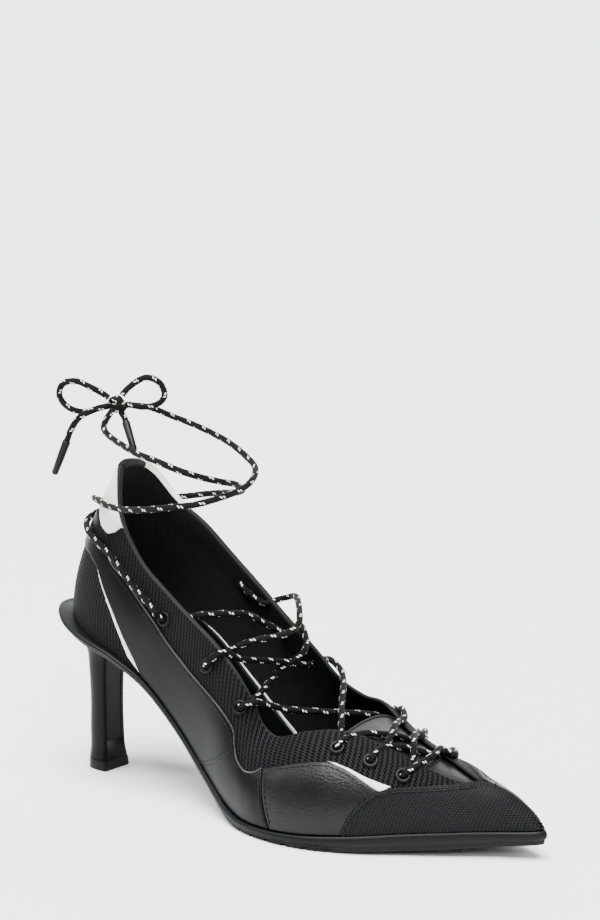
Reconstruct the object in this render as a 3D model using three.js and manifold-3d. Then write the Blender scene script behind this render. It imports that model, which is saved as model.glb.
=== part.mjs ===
// Lace-up sneaker pump, right foot, in millimetres.
// +X runs from the heel to the toe, +Y to the inner (medial) side, +Z up, floor at z = 0.
import * as THREE from "three";
import { mergeVertices } from "three/addons/utils/BufferGeometryUtils.js";
import Module from "manifold-3d";

const wasm = await Module();
wasm.setup();

// Last and upper
const LENGTH = 233.6;
const BALL_WIDTH = 81;
const HEEL_RISE = 71;
const TOE_SPRING = 6.4;
const TAB_RISE = 67;
const UPPER_WALL = 1.7;
const COLLAR_PAD = 1.1;
const PANEL_STEP = 0.7;
const CAP_STEP = 1.3;

// Sole
const SOLE_THICKNESS = 5;
const SOLE_RIM = 2.4;
const FLARE = 7.5;
const GROOVE_DEPTH = 1.2;
const GROOVE_WIDTH = 2.2;
const GROOVE_COUNT = 8;
const SOCK_THICKNESS = 1.6;

// Heel
const LIFT_HEIGHT = 4.7;
const HEEL_WIDTH = 16.4;
const HEEL_DEPTH = 13.4;
const HEEL_SETBACK = 6;

// Tongue, eyelets and lace
const TONGUE_THICKNESS = 1.6;
const EYELET_RADIUS = 3.3;
const EYELET_BORE = 1.7;
const EYELET_FLANGE = 0.8;
const LACE_DIAMETER = 3;
const AGLET_DIAMETER = 3.6;
const AGLET_LENGTH = 17;
const GAP = 0.3;

// Sections from the back of the heel to the toe tip, one row each.
// x, lateral, medial: feather line, in shares of LENGTH and BALL_WIDTH
// lift, spring, thick: underside and sole, in shares of HEEL_RISE, TOE_SPRING, SOLE_THICKNESS
// flare, rim: reach of the sole past the upper, in shares of FLARE and SOLE_RIM
const SECTION_COLUMNS = ["x", "lateral", "medial", "lift", "spring", "thick", "flare", "rim"];
const SECTIONS = [
  [0.000, -0.025, -0.025, 1.000, 0.00, 1.00, 1.00, 0.40],
  [0.015, -0.148, 0.099, 0.986, 0.00, 1.00, 0.88, 0.45],
  [0.051, -0.259, 0.216, 0.940, 0.00, 0.92, 0.52, 0.60],
  [0.107, -0.327, 0.284, 0.882, 0.00, 0.82, 0.24, 0.75],
  [0.176, -0.346, 0.290, 0.808, 0.00, 0.74, 0.08, 0.85],
  [0.248, -0.340, 0.259, 0.672, 0.00, 0.74, 0.02, 0.75],
  [0.321, -0.333, 0.228, 0.440, 0.00, 0.78, 0.00, 0.70],
  [0.390, -0.358, 0.241, 0.205, 0.00, 0.84, 0.00, 0.75],
  [0.449, -0.420, 0.296, 0.058, 0.00, 0.96, 0.00, 0.90],
  [0.488, -0.469, 0.346, 0.008, 0.00, 1.02, 0.00, 1.00],
  [0.518, -0.506, 0.383, 0.000, 0.00, 0.98, 0.00, 1.00],
  [0.552, -0.535, 0.420, 0.000, 0.00, 0.97, 0.00, 1.00],
  [0.599, -0.549, 0.451, 0.000, 0.00, 1.02, 0.00, 1.00],
  [0.659, -0.531, 0.451, 0.000, 0.02, 1.18, 0.00, 1.00],
  [0.732, -0.451, 0.414, 0.000, 0.14, 1.34, 0.00, 1.00],
  [0.800, -0.333, 0.346, 0.000, 0.32, 1.42, 0.00, 0.95],
  [0.856, -0.235, 0.265, 0.000, 0.48, 1.40, 0.00, 0.90],
  [0.899, -0.154, 0.204, 0.000, 0.63, 1.34, 0.00, 0.90],
  [0.937, -0.086, 0.142, 0.000, 0.77, 1.24, 0.00, 0.90],
  [0.967, -0.040, 0.089, 0.000, 0.88, 1.18, 0.00, 0.95],
  [0.989, -0.004, 0.053, 0.000, 0.96, 1.16, 0.00, 1.00],
  [1.000, 0.025, 0.025, 0.000, 1.00, 1.16, 0.00, 1.05],
];

// Collar, eyestay edge and toe ridge on the same rows, lateral then medial.
// x, y: shares of LENGTH and BALL_WIDTH; rise: height over the feather line, share of TAB_RISE
const EDGE_COLUMNS = ["latX", "latY", "latRise", "medX", "medY", "medRise"];
const EDGES = [
  [0.113, 0.000, 1.000, 0.113, 0.000, 1.000],
  [0.116, -0.096, 0.997, 0.112, 0.104, 0.985],
  [0.131, -0.168, 0.955, 0.134, 0.168, 0.970],
  [0.158, -0.236, 0.783, 0.174, 0.230, 0.858],
  [0.218, -0.284, 0.617, 0.231, 0.266, 0.790],
  [0.287, -0.315, 0.590, 0.291, 0.290, 0.740],
  [0.351, -0.333, 0.685, 0.355, 0.302, 0.790],
  [0.407, -0.346, 0.802, 0.411, 0.309, 0.862],
  [0.456, -0.346, 0.792, 0.458, 0.306, 0.882],
  [0.492, -0.337, 0.677, 0.497, 0.296, 0.826],
  [0.513, -0.333, 0.553, 0.522, 0.284, 0.770],
  [0.544, -0.328, 0.498, 0.552, 0.272, 0.708],
  [0.595, -0.296, 0.550, 0.599, 0.257, 0.650],
  [0.664, -0.253, 0.568, 0.646, 0.232, 0.620],
  [0.736, -0.210, 0.484, 0.711, 0.191, 0.462],
  [0.809, -0.167, 0.366, 0.801, 0.111, 0.353],
  [0.865, -0.117, 0.283, 0.865, 0.031, 0.290],
  [0.905, -0.031, 0.256, 0.905, -0.031, 0.256],
  [0.938, -0.006, 0.207, 0.938, -0.006, 0.207],
  [0.966, 0.012, 0.136, 0.966, 0.012, 0.136],
  [0.983, 0.021, 0.080, 0.983, 0.021, 0.080],
  [0.993, 0.025, 0.026, 0.993, 0.025, 0.026],
];

// Bulge of the wall: reach and height of the two handles, in shares of the wall's own height
const BULGE_COLUMNS = ["row", "footOut", "footUp", "edgeOut", "edgeDown"];
const BULGES = [
  [0, 0.00, 0.33, 0.12, 0.20],
  [3, 0.03, 0.35, 0.06, 0.30],
  [6, 0.05, 0.35, 0.08, 0.30],
  [9, 0.04, 0.40, 0.14, 0.22],
  [12, 0.05, 0.50, 0.24, 0.12],
  [15, 0.05, 0.50, 0.28, 0.12],
  [17, 0.04, 0.50, 0.30, 0.14],
  [20, 0.03, 0.40, 0.20, 0.14],
  [21, 0.02, 0.35, 0.10, 0.20],
];

const LAST_ROW = SECTIONS.length - 1;
const THROAT_ROW = 17;
const CAVITY_ROW = 19.2;

const tableRow = (columns, values) => Object.fromEntries(columns.map((name, k) => [name, values[k]]));
const sections = SECTIONS.map((values) => tableRow(SECTION_COLUMNS, values));
const edges = EDGES.map((values) => tableRow(EDGE_COLUMNS, values));
const bulges = BULGES.map((values) => tableRow(BULGE_COLUMNS, values));

// One row of both tables for one side: foot point, edge point, and the sole's own values
function stationRow(index, side) {
  const section = sections[index];
  const edge = edges[index];
  const lateral = side > 0;
  const under = section.lift * HEEL_RISE + section.spring * TOE_SPRING;
  const footZ = under + section.thick * SOLE_THICKNESS;
  return {
    footX: section.x * LENGTH,
    footY: (lateral ? section.lateral : section.medial) * BALL_WIDTH,
    footZ,
    under,
    edgeX: (lateral ? edge.latX : edge.medX) * LENGTH,
    edgeY: (lateral ? edge.latY : edge.medY) * BALL_WIDTH,
    edgeZ: footZ + (lateral ? edge.latRise : edge.medRise) * TAB_RISE,
    reach: section.flare * FLARE + section.rim * SOLE_RIM,
    flare: section.flare,
  };
}

// Rows of the closed loop around the shoe: positive on the lateral side, negative on the medial
function loopRow(index) {
  let k = index;
  if (k > LAST_ROW) {
    k -= 2 * LAST_ROW;
  }
  if (k < -LAST_ROW) {
    k += 2 * LAST_ROW;
  }
  return k >= 0 ? stationRow(k, 1) : stationRow(-k, -1);
}

const splineValue = (a, b, c, d, t) =>
  0.5 * (2 * b + (c - a) * t + (2 * a - 5 * b + 4 * c - d) * t * t + (3 * b - a - 3 * c + d) * t ** 3);

// Values at place q of the loop, by a spline through the rows
function loopAt(q) {
  const base = Math.floor(q);
  const t = q - base;
  const rows = [loopRow(base - 1), loopRow(base), loopRow(base + 1), loopRow(base + 2)];
  const result = {};
  for (const name of Object.keys(rows[1])) {
    result[name] = splineValue(rows[0][name], rows[1][name], rows[2][name], rows[3][name], t);
  }
  return result;
}

const lerp = (a, b, t) => a + (b - a) * t;

function bulgeAt(q) {
  const row = Math.abs(q);
  const next = Math.max(1, bulges.findIndex((bulge) => bulge.row >= row));
  const from = bulges[next - 1];
  const to = bulges[next];
  const t = (row - from.row) / (to.row - from.row);
  return Object.fromEntries(BULGE_COLUMNS.map((name) => [name, lerp(from[name], to[name], t)]));
}

// Outward direction of the feather line in plan
function planNormal(q) {
  const step = 0.05;
  const before = loopAt(q - step);
  const after = loopAt(q + step);
  const normal = new THREE.Vector3(-(after.footY - before.footY), after.footX - before.footX, 0);
  return normal.normalize().negate();
}

// The last's surface: q runs around the shoe, v from the feather line (0) to the edge or ridge (1)
function lastPoint(q, v) {
  const here = loopAt(q);
  const edge = new THREE.Vector3(here.edgeX, here.edgeY, here.edgeZ);
  if (Math.abs(q) > THROAT_ROW) {
    const other = loopAt(-q);
    edge.add(new THREE.Vector3(other.edgeX, other.edgeY, other.edgeZ)).multiplyScalar(0.5);
  }
  const foot = new THREE.Vector3(here.footX, here.footY, here.footZ);
  const outward = planNormal(q);
  const bulge = bulgeAt(q);
  const height = edge.distanceTo(foot);
  const lower = foot.clone().addScaledVector(outward, bulge.footOut * height);
  lower.z += bulge.footUp * height;
  const upper = edge.clone().addScaledVector(outward, bulge.edgeOut * height);
  upper.z -= bulge.edgeDown * height;
  const w = 1 - v;
  return foot
    .multiplyScalar(w ** 3)
    .addScaledVector(lower, 3 * w * w * v)
    .addScaledVector(upper, 3 * w * v * v)
    .addScaledVector(edge, v ** 3);
}

function sideNormal(q, v) {
  const step = 0.04;
  const along = lastPoint(q + step, v).sub(lastPoint(q - step, v));
  const up = lastPoint(q, Math.min(1, v + step)).sub(lastPoint(q, Math.max(0, v - step)));
  return along.cross(up).normalize();
}

// Outward normal of the last; both sides share it on the ridge, the toe tip and the back seam
function lastNormal(q, v) {
  const onRidge = v > 0.999 && Math.abs(q) >= THROAT_ROW;
  const atTip = Math.abs(q) > LAST_ROW - 0.01;
  if (!onRidge && !atTip) {
    return sideNormal(q, v);
  }
  const inset = atTip ? Math.sign(q) * (LAST_ROW - 0.06) : q;
  return sideNormal(inset, v).add(sideNormal(-inset, v)).normalize();
}

function offsetPoint(q, v, distance) {
  const point = lastPoint(q, v);
  const height = point.z;
  point.addScaledVector(lastNormal(q, v), distance);
  if (v === 0) {
    point.z = height;
  }
  return point;
}

// Wall thickness: the collar is padded toward its edge
function wallAt(q, v) {
  const along = THREE.MathUtils.smoothstep(9 - Math.abs(q), 0, 2);
  return UPPER_WALL + COLLAR_PAD * along * THREE.MathUtils.smoothstep(v, 0.7, 0.92);
}

// Inside of the upper, which stops short of the toe tip
function insidePoint(q, v, extra = 0) {
  const row = Math.abs(q);
  const squeezed = THROAT_ROW + (row - THROAT_ROW) * (CAVITY_ROW - THROAT_ROW) / (LAST_ROW - THROAT_ROW);
  const place = Math.sign(q) * (row > THROAT_ROW ? squeezed : row);
  const depth = -(wallAt(q, v) + extra);
  if (row < LAST_ROW - 0.001) {
    return offsetPoint(place, v, depth);
  }
  return offsetPoint(place, v, depth).add(offsetPoint(-place, v, depth)).multiplyScalar(0.5);
}

// Triangles gathered from quads, turned outward at the end
class Skin {
  constructor() {
    this.positions = [];
  }

  triangle(a, b, c) {
    for (const corner of [a, b, c]) {
      this.positions.push(corner.x, corner.y, corner.z);
    }
  }

  quad(a, b, c, d) {
    this.triangle(a, b, c);
    this.triangle(a, c, d);
  }

  // Rows of points of equal length; a closed row joins its last point to its first
  rows(grid, closed = false) {
    for (let i = 0; i + 1 < grid.length; i += 1) {
      const count = grid[i].length;
      for (let j = 0; j < (closed ? count : count - 1); j += 1) {
        const k = (j + 1) % count;
        this.quad(grid[i][j], grid[i][k], grid[i + 1][k], grid[i + 1][j]);
      }
    }
  }

  geometry() {
    const built = new THREE.BufferGeometry();
    built.setAttribute("position", new THREE.Float32BufferAttribute(this.positions, 3));
    return mergeVertices(built, 1e-4);
  }
}

function signedVolume(geometry) {
  const points = geometry.getAttribute("position");
  const index = geometry.getIndex();
  const corner = [new THREE.Vector3(), new THREE.Vector3(), new THREE.Vector3()];
  let total = 0;
  for (let i = 0; i < index.count; i += 3) {
    corner.forEach((vector, k) => vector.fromBufferAttribute(points, index.getX(i + k)));
    total += corner[0].dot(corner[1].cross(corner[2])) / 6;
  }
  return total;
}

// Solid for cutting and joining; inside-out skins are turned and flat triangles dropped
function solid(source) {
  const bare = source.clone();
  bare.deleteAttribute("normal");
  bare.deleteAttribute("uv");
  const merged = mergeVertices(bare, 1e-4);
  const index = merged.getIndex().array;
  const turned = signedVolume(merged) < 0;
  const corners = [];
  for (let i = 0; i < index.length; i += 3) {
    const [a, b, c] = [index[i], index[i + 1], index[i + 2]];
    if (a !== b && b !== c && a !== c) {
      corners.push(...(turned ? [a, c, b] : [a, b, c]));
    }
  }
  const mesh = new wasm.Mesh({
    numProp: 3,
    vertProperties: new Float32Array(merged.getAttribute("position").array),
    triVerts: new Uint32Array(corners),
  });
  return new wasm.Manifold(mesh);
}

function geometryOf(body) {
  const mesh = body.getMesh();
  const built = new THREE.BufferGeometry();
  built.setAttribute("position", new THREE.BufferAttribute(new Float32Array(mesh.vertProperties), 3));
  built.setIndex(new THREE.BufferAttribute(new Uint32Array(mesh.triVerts), 1));
  return built;
}

// Largest body of a solid, without specks left where panels meet
function largestBody(body) {
  return body.decompose().reduce((best, next) => (next.volume() > best.volume() ? next : best));
}

const group = new THREE.Group();
group.name = "sneaker_pump";

function addPiece(name, geometry, finish) {
  const [color, roughness, metalness] = finish;
  const built = geometry.clone();
  built.deleteAttribute("normal");
  built.deleteAttribute("uv");
  const flat = mergeVertices(built, 1e-4).toNonIndexed();
  flat.computeVertexNormals();
  const mesh = new THREE.Mesh(flat, new THREE.MeshStandardMaterial({ color, roughness, metalness }));
  mesh.name = name;
  group.add(mesh);
}

const LEATHER = [0x17171a, 0.45, 0];
const RUBBER = [0x141415, 0.7, 0];
const LACQUER = [0x1a1a1b, 0.5, 0];
const TEXTILE = [0x101011, 0.9, 0];
const PLASTIC = [0x151515, 0.35, 0];
const CORD = [0x1b1b1b, 0.85, 0];

// Places along one side: three steps a row where the heel turns, one where the rows lie close
const ROW_STEPS = [3, 3, 3, 2, 2, 2, 2, 2, 1, 1, 1, 1, 2, 2, 2, 2, 2, 1, 1, 1, 1];
const PLACES = [];
for (let row = 0; row < LAST_ROW; row += 1) {
  const parts = ROW_STEPS[row];
  for (let k = 0; k < parts; k += 1) {
    PLACES.push(row + k / parts);
  }
}
PLACES.push(LAST_ROW);
const HEIGHTS = [0, 0.12, 0.28, 0.46, 0.64, 0.8, 0.92, 1];

// Shell between two skins of the last, open along the feather line and at the throat
function shell(outer, inner) {
  const skin = new Skin();
  for (const side of [1, -1]) {
    const outside = PLACES.map((q) => HEIGHTS.map((v) => outer(side * q, v)));
    const inside = PLACES.map((q) => HEIGHTS.map((v) => inner(side * q, v)));
    const top = HEIGHTS.length - 1;
    const open = PLACES.map((q) => q <= THROAT_ROW);
    const ordered = (a, b, c, d) => (side > 0 ? skin.quad(a, b, c, d) : skin.quad(d, c, b, a));
    for (let i = 0; i + 1 < PLACES.length; i += 1) {
      for (let j = 0; j < top; j += 1) {
        ordered(outside[i][j], outside[i + 1][j], outside[i + 1][j + 1], outside[i][j + 1]);
        ordered(inside[i][j + 1], inside[i + 1][j + 1], inside[i + 1][j], inside[i][j]);
      }
      ordered(inside[i][0], inside[i + 1][0], outside[i + 1][0], outside[i][0]);
      if (open[i] && open[i + 1]) {
        ordered(outside[i][top], outside[i + 1][top], inside[i + 1][top], inside[i][top]);
      }
    }
  }
  return solid(skin.geometry());
}

// Points of the middle line and both ends are shared by the two sides
const shared = (q) => (q === -LAST_ROW ? LAST_ROW : q === 0 ? 0 : q);
const upperShell = shell(
  (q, v) => offsetPoint(v === 1 && Math.abs(q) >= THROAT_ROW ? Math.abs(q) : shared(q), v, 0),
  (q, v) => insidePoint(v === 1 && Math.abs(q) >= THROAT_ROW ? Math.abs(q) : shared(q), v),
);

// Height of the feather line at a share of LENGTH
function featherHeight(share) {
  const next = sections.findIndex((section) => section.x >= share);
  const to = next < 0 ? LAST_ROW : Math.max(1, next);
  const [back, front] = [sections[to - 1], sections[to]];
  const t = THREE.MathUtils.clamp((share - back.x) / (front.x - back.x), 0, 1);
  return lerp(stationRow(to - 1, 1).footZ, stationRow(to, 1).footZ, t);
}

// Outline in side view pushed across the shoe, for one side or both
function sideCutter(outline, fromY, toY) {
  const shape = new THREE.Shape(outline.map(([x, rise]) =>
    new THREE.Vector2(x * LENGTH, featherHeight(x) + rise * TAB_RISE)));
  const cutter = new THREE.ExtrudeGeometry(shape, { depth: toY - fromY, bevelEnabled: false });
  cutter.rotateX(Math.PI / 2);
  cutter.translate(0, toY, 0);
  return solid(cutter);
}

// Raised panels: the wall's own form one step larger, cut to the panel's outline.
// Each point: share of LENGTH along the shoe and share of TAB_RISE up from the feather line
const QUARTER_OUTLINE = [
  [0.100, 0.696], [0.150, 0.557], [0.191, 0.526], [0.236, 0.484], [0.272, 0.477], [0.308, 0.474],
  [0.361, 0.511], [0.408, 0.550], [0.446, 0.543], [0.470, 0.486], [0.478, 0.399], [0.489, 0.334],
  [0.518, 0.293], [0.548, 0.316], [0.601, 0.395], [0.644, 0.419], [0.665, 0.424], [0.699, 0.394],
  [0.729, 0.334], [0.762, 0.260], [0.764, 0.240], [0.746, 0.190], [0.731, 0.120], [0.717, 0.026],
  [0.709, -0.106], [0.440, -0.256], [0.240, -0.083], [0.218, 0.078], [0.200, 0.155], [0.170, 0.268],
  [0.141, 0.374], [0.116, 0.465],
];
const CAP_OUTLINE = [
  [0.909, 0.438], [0.909, 0.263], [0.888, 0.263], [0.852, 0.263], [0.825, 0.263], [0.778, 0.269],
  [0.755, 0.248], [0.737, 0.197], [0.722, 0.126], [0.708, 0.031], [0.700, -0.103], [1.050, -0.282],
  [1.050, 0.418],
];
const TAB_OUTLINE = [
  [0.076, 1.266], [0.083, 0.875], [0.104, 0.760], [0.119, 0.717], [0.137, 0.722], [0.168, 0.824],
  [0.190, 0.967], [0.160, 1.369],
];

const plain = (q, v) => offsetPoint(q, v, 0);
const buried = (q, v) => offsetPoint(q, v, -UPPER_WALL / 3);
const ridgeSafe = (skin) => (q, v) =>
  skin(v === 1 && Math.abs(q) >= THROAT_ROW ? Math.abs(q) : Math.abs(q) === LAST_ROW ? LAST_ROW : q, v);
const raised = (step) => shell(ridgeSafe((q, v) => offsetPoint(q, v, step)), ridgeSafe(buried));

const reachY = BALL_WIDTH;
const quarterPanels = raised(PANEL_STEP).intersect(sideCutter(QUARTER_OUTLINE, -reachY, reachY));
const tabPanels = raised(PANEL_STEP).intersect(sideCutter(TAB_OUTLINE, -reachY, reachY));
const toeCap = raised(CAP_STEP).intersect(sideCutter(CAP_OUTLINE, -reachY, reachY));

// Eyelets: place along the side and height on the wall, from the heel forward, lateral then medial
const EYELETS = [
  [5.15, 0.76], [6.90, 0.80], [8.55, 0.82], [13.05, 0.76], [13.85, 0.72], [14.60, 0.68],
  [-5.30, 0.84], [-6.95, 0.86], [-8.50, 0.86], [-13.10, 0.78], [-13.90, 0.74], [-14.65, 0.70],
];
const barrelRadius = EYELET_BORE + 0.5;
const eyelets = EYELETS.map(([q, v], k) => ({
  name: `eyelet_${k < 6 ? "lateral" : "medial"}_${(k % 6) + 1}`,
  q,
  point: lastPoint(q, v),
  normal: lastNormal(q, v),
}));

function setOnWall(geometry, eyelet) {
  const turn = new THREE.Quaternion().setFromUnitVectors(new THREE.Vector3(0, 1, 0), eyelet.normal);
  geometry.applyQuaternion(turn);
  geometry.translate(eyelet.point.x, eyelet.point.y, eyelet.point.z);
  return geometry;
}

const holeRadius = barrelRadius + GAP;
const eyeletHoles = eyelets.map((eyelet) =>
  solid(setOnWall(new THREE.CylinderGeometry(holeRadius, holeRadius, 4 * EYELET_RADIUS, 10), eyelet)));
let upper = upperShell.add(quarterPanels).add(tabPanels).add(toeCap);
for (const hole of eyeletHoles) {
  upper = upper.subtract(hole);
}
addPiece("upper", geometryOf(largestBody(upper)), LEATHER);

const SEAT_CLEARANCE = 0.1;
const seat = GAP + SEAT_CLEARANCE;
for (const eyelet of eyelets) {
  const profile = [
    [EYELET_BORE, -UPPER_WALL],
    [barrelRadius, -UPPER_WALL],
    [barrelRadius, seat],
    [EYELET_RADIUS, seat],
    [EYELET_RADIUS, seat + EYELET_FLANGE * 0.4],
    [EYELET_RADIUS - 0.6, seat + EYELET_FLANGE],
    [EYELET_BORE, seat + EYELET_FLANGE * 0.7],
    [EYELET_BORE, -UPPER_WALL],
  ].map(([radius, height]) => new THREE.Vector2(radius, height));
  addPiece(eyelet.name, setOnWall(new THREE.LatheGeometry(profile, 12), eyelet), PLASTIC);
}

// Sole: a band of points around the shoe for each line of its side, and flat fills above and below.
// Each line: reach past the feather line and depth, in shares of the sole's own reach and thickness
const SOLE_LINES = [
  [0.72, 0.00],
  [1.00, 0.20],
  [1.00, 0.46],
  [0.66, 0.60],
  [0.60, 0.92],
  [0.30, 1.00],
];

function solePoint(q, line) {
  const here = loopAt(q);
  const [out, drop] = SOLE_LINES[line];
  const outward = planNormal(q);
  const top = here.footZ - GAP;
  return new THREE.Vector3(
    here.footX + outward.x * here.reach * out,
    here.footY + outward.y * here.reach * out,
    lerp(top, here.under, drop),
  );
}

const seatPoint = (q) => {
  const point = insidePoint(q, 0, GAP);
  point.z -= GAP;
  return point;
};
const footPoint = (q) => {
  const here = loopAt(q);
  return new THREE.Vector3(here.footX, here.footY, here.footZ - GAP);
};

function soleForm(lines) {
  const skin = new Skin();
  const sides = [1, -1].map((side) =>
    PLACES.map((q) => lines.map((line) => line(q === LAST_ROW ? LAST_ROW : side * q))));
  const [lateral, medial] = sides;
  const last = lines.length - 1;
  for (let i = 0; i + 1 < PLACES.length; i += 1) {
    for (let k = 0; k < last; k += 1) {
      skin.quad(lateral[i][k], lateral[i][k + 1], lateral[i + 1][k + 1], lateral[i + 1][k]);
      skin.quad(medial[i + 1][k], medial[i + 1][k + 1], medial[i][k + 1], medial[i][k]);
    }
    skin.quad(lateral[i][0], lateral[i + 1][0], medial[i + 1][0], medial[i][0]);
    skin.quad(medial[i][last], medial[i + 1][last], lateral[i + 1][last], lateral[i][last]);
  }
  return solid(skin.geometry());
}

const soleLines = SOLE_LINES.map((line, k) => (q) => solePoint(q, k));
let outsole = soleForm([seatPoint, footPoint, ...soleLines]);

// Grooves across the tread under the ball
const treadStart = 0.5 * LENGTH;
const treadEnd = 0.76 * LENGTH;
for (let k = 0; k < GROOVE_COUNT; k += 1) {
  const groove = new THREE.BoxGeometry(GROOVE_WIDTH, 1.3 * BALL_WIDTH, 2 * GROOVE_DEPTH);
  groove.rotateZ(-0.35);
  groove.translate(lerp(treadStart, treadEnd, k / (GROOVE_COUNT - 1)), 0, 0);
  outsole = outsole.subtract(solid(groove));
}
addPiece("outsole", geometryOf(outsole), RUBBER);

const sockLines = [(q) => insidePoint(q, 0, GAP), (q) => {
  const point = insidePoint(q, 0, GAP);
  point.z += SOCK_THICKNESS;
  return point;
}];
addPiece("insole", geometryOf(soleForm(sockLines)), TEXTILE);

// Heel: rounded back, flat breast. height: share of HEEL_RISE; back and breast in shares of
// HEEL_DEPTH from HEEL_SETBACK; half: share of HEEL_WIDTH
const HEEL_COLUMNS = ["height", "back", "breast", "half"];
const HEEL_SECTIONS = [
  [0.070, 0.00, 1.00, 0.50],
  [0.130, 0.03, 0.96, 0.46],
  [0.260, 0.08, 0.93, 0.41],
  [0.480, 0.10, 0.93, 0.39],
  [0.660, 0.04, 0.96, 0.43],
  [0.770, -0.06, 1.05, 0.52],
  [0.850, -0.16, 1.25, 0.66],
  [0.920, -0.24, 1.70, 0.80],
  [1.060, -0.30, 2.60, 0.95],
];
const heelCentreY = SECTIONS[0][1] * BALL_WIDTH;

function heelOutline(section, height) {
  const back = HEEL_SETBACK + section.back * HEEL_DEPTH;
  const breast = HEEL_SETBACK + section.breast * HEEL_DEPTH;
  const half = section.half * HEEL_WIDTH;
  const points = [];
  const count = 20;
  for (let k = 0; k <= count; k += 1) {
    const turn = -Math.PI / 2 + Math.PI * k / count;
    const across = Math.sign(Math.sin(turn)) * Math.abs(Math.sin(turn)) ** 0.8;
    const along = Math.cos(turn) ** 0.8;
    points.push(new THREE.Vector3(lerp(breast - 1, back, along), heelCentreY + half * across, height));
  }
  points.push(new THREE.Vector3(breast, heelCentreY + half - 1.2, height));
  points.push(new THREE.Vector3(breast, heelCentreY - half + 1.2, height));
  return points;
}

function loft(rings) {
  const skin = new Skin();
  skin.rows(rings, true);
  const bottom = rings[0];
  const top = rings[rings.length - 1];
  for (let k = 1; k + 1 < top.length; k += 1) {
    skin.triangle(bottom[0], bottom[k + 1], bottom[k]);
    skin.triangle(top[0], top[k], top[k + 1]);
  }
  return solid(skin.geometry());
}

const heelSections = HEEL_SECTIONS.map((values) => tableRow(HEEL_COLUMNS, values));
const heelColumn = loft(heelSections.map((section, k) =>
  heelOutline(section, k === 0 ? LIFT_HEIGHT + GAP : section.height * HEEL_RISE)));

// The sole's underside lowered by the gap, with everything above it, is taken off the heel
const lowered = (point) => {
  const moved = point.clone();
  moved.z -= GAP;
  return moved;
};
const lifted = (point) => {
  const moved = point.clone();
  moved.z += HEEL_RISE;
  return moved;
};
const last = SOLE_LINES.length - 1;
const aboveSole = soleForm([
  (q) => lifted(solePoint(q, 0)),
  (q) => lifted(solePoint(q, 2)),
  (q) => lowered(solePoint(q, 3)),
  (q) => lowered(solePoint(q, 4)),
  (q) => lowered(solePoint(q, last)),
]);
addPiece("heel", geometryOf(heelColumn.subtract(aboveSole)), LACQUER);
const liftSection = { back: -0.02, breast: 1.03, half: 0.515 };
addPiece("heel_lift", geometryOf(loft([
  heelOutline(liftSection, 0),
  heelOutline({ back: 0, breast: 1, half: 0.5 }, LIFT_HEIGHT),
])), RUBBER);

// Tongue: runs under both eyestays and arches across the throat
const TONGUE_FRONT_ROW = 17.7;
const TONGUE_TOP_ROW = 12.75;
const TONGUE_ROWS = 9;
const TONGUE_POINTS = 14;

function tongueSection(q, depth) {
  const route = [];
  const side = (place) => [0.62, 0.72, 0.82, 0.91, 1].map((v) => offsetPoint(place, v, -(UPPER_WALL + depth)));
  const near = side(q);
  const far = side(-q);
  const nearWay = near[4].clone().sub(near[3]).normalize();
  const farWay = far[4].clone().sub(far[3]).normalize();
  const span = near[4].distanceTo(far[4]) * 0.36;
  route.push(...near);
  if (span > 0.5) {
    const arch = new THREE.CubicBezierCurve3(
      near[4], near[4].clone().addScaledVector(nearWay, span), far[4].clone().addScaledVector(farWay, span), far[4]);
    route.push(...arch.getPoints(8).slice(1, -1));
  }
  route.push(...far.reverse());
  const path = new THREE.CurvePath();
  for (let k = 0; k + 1 < route.length; k += 1) {
    path.add(new THREE.LineCurve3(route[k], route[k + 1]));
  }
  return path.getSpacedPoints(TONGUE_POINTS);
}

function tongueSkin(depth) {
  const grid = [];
  for (let i = 0; i <= TONGUE_ROWS; i += 1) {
    const row = [];
    for (let k = 0; k <= TONGUE_POINTS; k += 1) {
      const across = 2 * k / TONGUE_POINTS - 1;
      const q = lerp(TONGUE_TOP_ROW + 0.6 * across * across, TONGUE_FRONT_ROW, i / TONGUE_ROWS);
      row.push(tongueSection(q, depth)[k]);
    }
    grid.push(row);
  }
  return grid;
}

// Closed sheet between two grids of points
function sheetSolid(top, bottom) {
  const skin = new Skin();
  skin.rows(top);
  skin.rows(bottom.map((row) => [...row].reverse()));
  const rim = (grid) => {
    const first = grid[0];
    const end = grid[grid.length - 1];
    const right = grid.map((row) => row[row.length - 1]);
    const left = grid.map((row) => row[0]);
    return [...first, ...right.slice(1), ...[...end].reverse().slice(1), ...left.reverse().slice(1, -1)];
  };
  skin.rows([rim(bottom), rim(top)], true);
  return solid(skin.geometry());
}

addPiece("tongue", geometryOf(sheetSolid(tongueSkin(GAP + 0.15), tongueSkin(GAP + 0.15 + TONGUE_THICKNESS))), LEATHER);

// Lace across the throat: crossings from eyelet to eyelet, joined where they meet
const laceRadius = LACE_DIAMETER / 2;
const LACE_CLEARANCE = 0.9;
const laceHeight = seat + EYELET_FLANGE + GAP + laceRadius + LACE_CLEARANCE;

function roundTube(points, radius, steps) {
  const circle = new THREE.Shape();
  circle.absarc(0, 0, radius, 0, 2 * Math.PI, false);
  const route = new THREE.CatmullRomCurve3(points, false, "centripetal");
  return new THREE.ExtrudeGeometry(circle, { steps, bevelEnabled: false, extrudePath: route, curveSegments: 4 });
}

const eyeletStart = (eyelet) => eyelet.point.clone().addScaledVector(eyelet.normal, laceHeight);
function rimPoint(q) {
  const away = lastNormal(q, 1);
  away.z += 1;
  return lastPoint(q, 1).addScaledVector(away.normalize(), laceRadius + 5 * GAP);
}

// Pairs of eyelet rows that the lace joins, and how high it arches between the edges
const CROSSINGS = [[0, 1, 1], [1, 2, 1], [2, 3, 5], [3, 4, 7], [4, 5, 5], [5, 5, 4]];

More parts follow.
